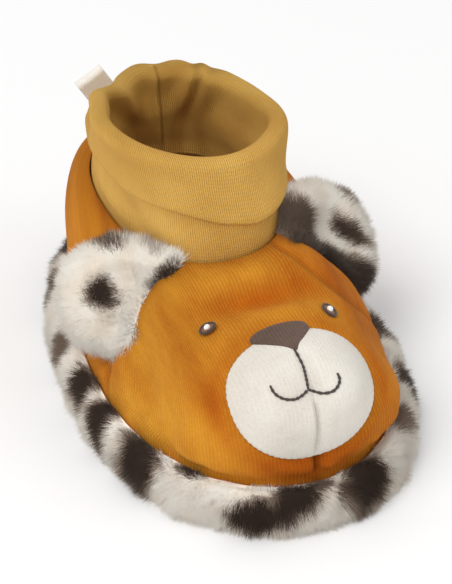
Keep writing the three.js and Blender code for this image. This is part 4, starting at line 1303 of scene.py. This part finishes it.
# Pull loop. A cream woven ribbon, folded over and sewn into the collar at the heel. It leans to the
# wearer's right and bows back a little.
ribbon_width, ribbon_thickness, ribbon_height, ribbon_gap, ribbon_lean = 6.5, 0.7, 20.5, 1.0, 29.0
ribbon_back, ribbon_sink, ribbon_forward, ribbon_bow = 2.5, 5.0, 0.12, 1.6
lean = math.radians(ribbon_lean)
foot = collar_point(np.array(np.pi)) + [0, ribbon_back, -ribbon_sink]
rise_way = unit(np.array([-math.sin(lean), -ribbon_forward, math.cos(lean)]))
wide_way = np.array([math.cos(lean), 0, math.sin(lean)])
back_way = unit(np.cross(wide_way, rise_way))
back_way = back_way * np.sign(back_way[1])
half = (ribbon_gap + ribbon_thickness) / 2
up_share = np.linspace(0.16, 1, 40)
fold_turn = np.linspace(np.pi, 0, 16)[1:-1]
behind = np.concatenate([np.full(40, -half), np.cos(fold_turn) * half, np.full(40, half)])
along = np.concatenate([up_share, 1 + np.sin(fold_turn) * half / ribbon_height, up_share[::-1]])
bow = behind + ribbon_bow * np.sin(np.pi * along / 1.25)
line = foot + rise_way * (along * ribbon_height)[:, None] + back_way * bow[:, None]
square = unit(np.cross(np.gradient(line, axis=0), wide_way))
rim_turn = full_turn(28)
flat_across = np.clip(np.cos(rim_turn) * 1.25, -1, 1) * ribbon_width / 2
flat_thick = np.sin(rim_turn) * ribbon_thickness / 2
selvedge = 0.12 * bell((np.abs(flat_across) - ribbon_width / 2 + 0.3) / 0.3) * np.sign(flat_thick)
cup = 0.25 * np.square(flat_across / (ribbon_width / 2))
ribbon_grid = (
    line[:, None]
    + wide_way * flat_across[None, :, None]
    + square[:, None] * (flat_thick + selvedge)[None, :, None]
    + back_way * cup[None, :, None]
)
ribbon_cloth = woven("ribbon_cloth", "DDD8CD", "EEEBE4", 0.00035, 0.00004)
if np.cross(wide_way, square[0]) @ (line[1] - line[0]) < 0:
    ribbon_grid = ribbon_grid[:, ::-1]
ribbon = skin("ribbon_loop", ribbon_grid, ribbon_cloth)
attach(ribbon, "root")
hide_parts("pull_loop")


# Side tab. A rust-brown woven strip, folded in two with its ends in the side seam. It is bare.
tab_length, tab_reach, tab_thickness, tab_lean = 19.0, 6.5, 1.1, 33.0
tab_angle, tab_rise = np.array(math.radians(97.0)), np.array(0.3)
seat = upper_form(tab_angle, tab_rise)
tab_out = unit(normal_of(upper_form, tab_angle, tab_rise) * [1, 1, 0])
tab_sine, tab_cosine = math.sin(math.radians(tab_lean)), math.cos(math.radians(tab_lean))
tab_up = np.array([-tab_out[1] * tab_sine, tab_out[0] * tab_sine, tab_cosine])
tab_side = np.cross(tab_up, tab_out)
lowest = band_height + seam_gap + tab_length * tab_cosine / 2 + tab_thickness
seat = np.array([seat[0], seat[1], max(seat[2], lowest)])
tab_turn = full_turn(36)
tab_across = np.clip(np.sin(tab_turn) * 1.3, -1, 1)
tab_thick = np.cos(tab_turn)
tab_rows = np.linspace(-0.5, 0.5, 30)
tab_fold = tab_thick * tab_thickness / 2 * (1 + 0.25 * bell((tab_across - 0.86) / 0.14))
tab_out_share = (1 + tab_across) / 2
tab_wave = 0.35 * np.sin(tab_rows * 5)[:, None] * tab_out_share[None]
tab_grid = (
    seat
    + tab_up * (tab_rows * tab_length)[:, None, None]
    + tab_out * (tab_out_share * tab_reach)[None, :, None]
    + tab_side * (tab_fold[None] + tab_wave)[..., None]
)
near = np.abs(angle_from(upper_angles, 97)) < 30
tab_flat, _ = clear_of(tab_grid.reshape(-1, 3), outer_creased[8:, near], outer_normals[8:, near], 0.3)
tab_grid = tab_flat.reshape(tab_grid.shape)
tab_cloth = woven("tab_cloth", "6B2F22", "8C4533", 0.00045, 0.0001)
side_tab = skin("side_tab_strip", tab_grid, tab_cloth)
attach(side_tab, "root")
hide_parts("side_tab")
